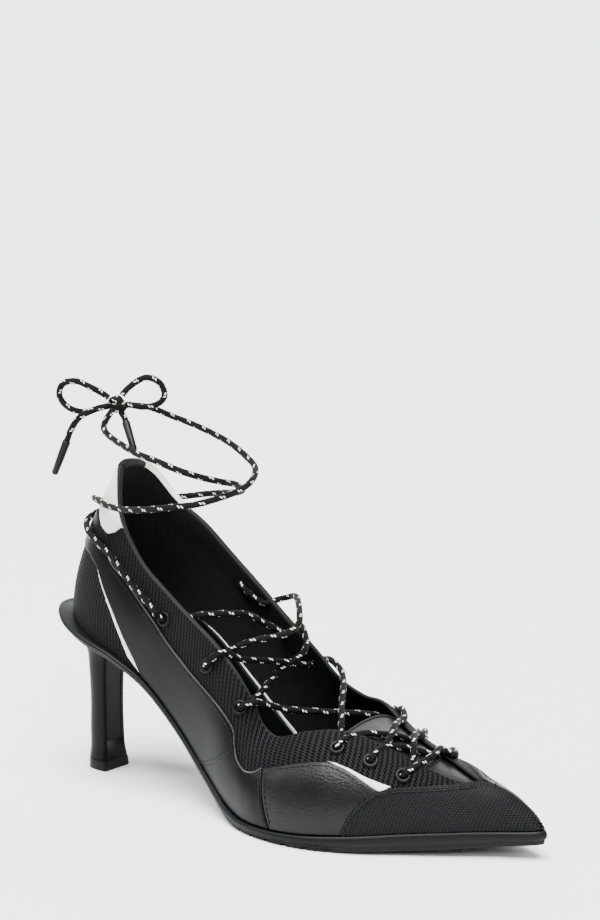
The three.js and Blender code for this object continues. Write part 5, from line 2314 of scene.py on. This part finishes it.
@dataclass(frozen=True)
class Camera:
    """The photograph's view: angles in degrees, sizes in millimetres, places in metres."""

    azimuth: float = 34.0
    elevation: float = 11.5
    roll: float = 0.9
    target: tuple = (0.0052, 0.0038, 0.082)
    distance: float = 0.700
    lens: float = 65.07
    shift: float = 0.174

    def build(self) -> None:
        """Adds the camera."""
        a, e, r = (math.radians(value) for value in (self.azimuth, self.elevation, self.roll))
        right = Vector((math.cos(a), math.sin(a), 0))
        up = Vector((-math.sin(a) * math.sin(e), math.cos(a) * math.sin(e), math.cos(e)))
        back = Vector((math.sin(a) * math.cos(e), -math.cos(a) * math.cos(e), math.sin(e)))
        rolled_right = math.cos(r) * right + math.sin(r) * up
        rolled_up = -math.sin(r) * right + math.cos(r) * up
        data = bpy.data.cameras.new("camera")
        data.lens, data.shift_y, data.clip_start = self.lens, self.shift, 0.01
        camera = bpy.data.objects.new("camera", data)
        turn = Matrix((rolled_right, rolled_up, back)).transposed().to_4x4()
        camera.matrix_world = Matrix.Translation(Vector(self.target) + back * self.distance) @ turn
        bpy.context.scene.collection.objects.link(camera)
        bpy.context.scene.camera = camera


@dataclass(frozen=True)
class Studio:
    """Pale floor, soft lights and a white surround."""

    floor_size: float = 60.0
    room: float = 0.3
    daylight: float = 11.0
    wall: float = 3.6
    wall_way: tuple = (-0.559, 0.829, 0.0)
    wall_edge: tuple = (0.45, 0.86)
    softness: float = 48.0
    sun_tilt: tuple = (14.0, 4.0)
    left_power: float = 9.0
    front_power: float = 7.0

    def _light(self, name: str, place: tuple, size: tuple, power: float) -> None:
        """One soft rectangular light aimed at the shoe.

        Args:
            name: the light's name.
            place: its place in metres.
            size: its two sides in metres.
            power: its power in watts.
        """
        data = bpy.data.lights.new(name, "AREA")
        data.shape, data.size, data.size_y, data.energy = "RECTANGLE", size[0], size[1], power
        light = bpy.data.objects.new(name, data)
        way = Vector((0.0, 0.0, 0.06)) - Vector(place)
        turn = way.to_track_quat("-Z", "Y").to_matrix().to_4x4()
        light.matrix_world = Matrix.Translation(Vector(place)) @ turn
        bpy.context.scene.collection.objects.link(light)

    def build(self) -> None:
        """Adds the floor, the lights and the surround."""
        bpy.ops.object.select_all(action="DESELECT")
        bpy.ops.mesh.primitive_plane_add(size=self.floor_size)
        floor = bpy.context.object
        floor.name = "floor"
        draw = Sketch("floor_white")
        white = draw.mix(draw.noise(3, 2), (0.90, 0.90, 0.90), (0.92, 0.92, 0.92))
        floor.data.materials.append(draw.finish(Base_Color=white, Roughness=0.9))
        world = bpy.context.scene.world or bpy.data.worlds.new("surround")
        bpy.context.scene.world = world
        world.use_nodes = True
        tree = world.node_tree
        background = tree.nodes["Background"]
        background.inputs[0].default_value = (1, 1, 1, 1)
        way = tree.nodes.new("ShaderNodeTexCoord")
        facing_wall = tree.nodes.new("ShaderNodeVectorMath")
        facing_wall.operation = "DOT_PRODUCT"
        facing_wall.inputs[1].default_value = self.wall_way
        glow = tree.nodes.new("ShaderNodeMapRange")
        glow.interpolation_type = "SMOOTHSTEP"
        for key, value in zip(("From Min", "From Max"), self.wall_edge):
            glow.inputs[key].default_value = value
        for key, value in (("To Min", self.room), ("To Max", self.wall)):
            glow.inputs[key].default_value = value
        tree.links.new(way.outputs["Generated"], facing_wall.inputs[0])
        tree.links.new(facing_wall.outputs["Value"], glow.inputs["Value"])
        tree.links.new(glow.outputs["Result"], background.inputs[1])
        data = bpy.data.lights.new("top_light", "SUN")
        data.energy, data.angle = self.daylight, math.radians(self.softness)
        top = bpy.data.objects.new("top_light", data)
        top.rotation_euler = (*(math.radians(angle) for angle in self.sun_tilt), 0)
        bpy.context.scene.collection.objects.link(top)
        self._light("left_light", (-1.1, -0.6, 1.0), (0.3, 0.9), self.left_power)
        self._light("front_light", (1.0, -0.9, 0.9), (0.6, 0.35), self.front_power)


def main() -> None:
    """Builds the shoe in order."""
    logging.basicConfig(level=logging.INFO, format="%(name)s %(message)s")
    Camera().build()
    Studio().build()
    finishes = Finishes.make()
    Lace().build(finishes)
    Upper().shell(finishes)
    for part in (Trim(), Panels(), Stitches(), Sole(), Heel(), Sock(), Tongue(), Eyelets()):
        LOG.info("building %s", type(part).__name__.lower())
        part.build(finishes)


if __name__ == "__main__":
    main()
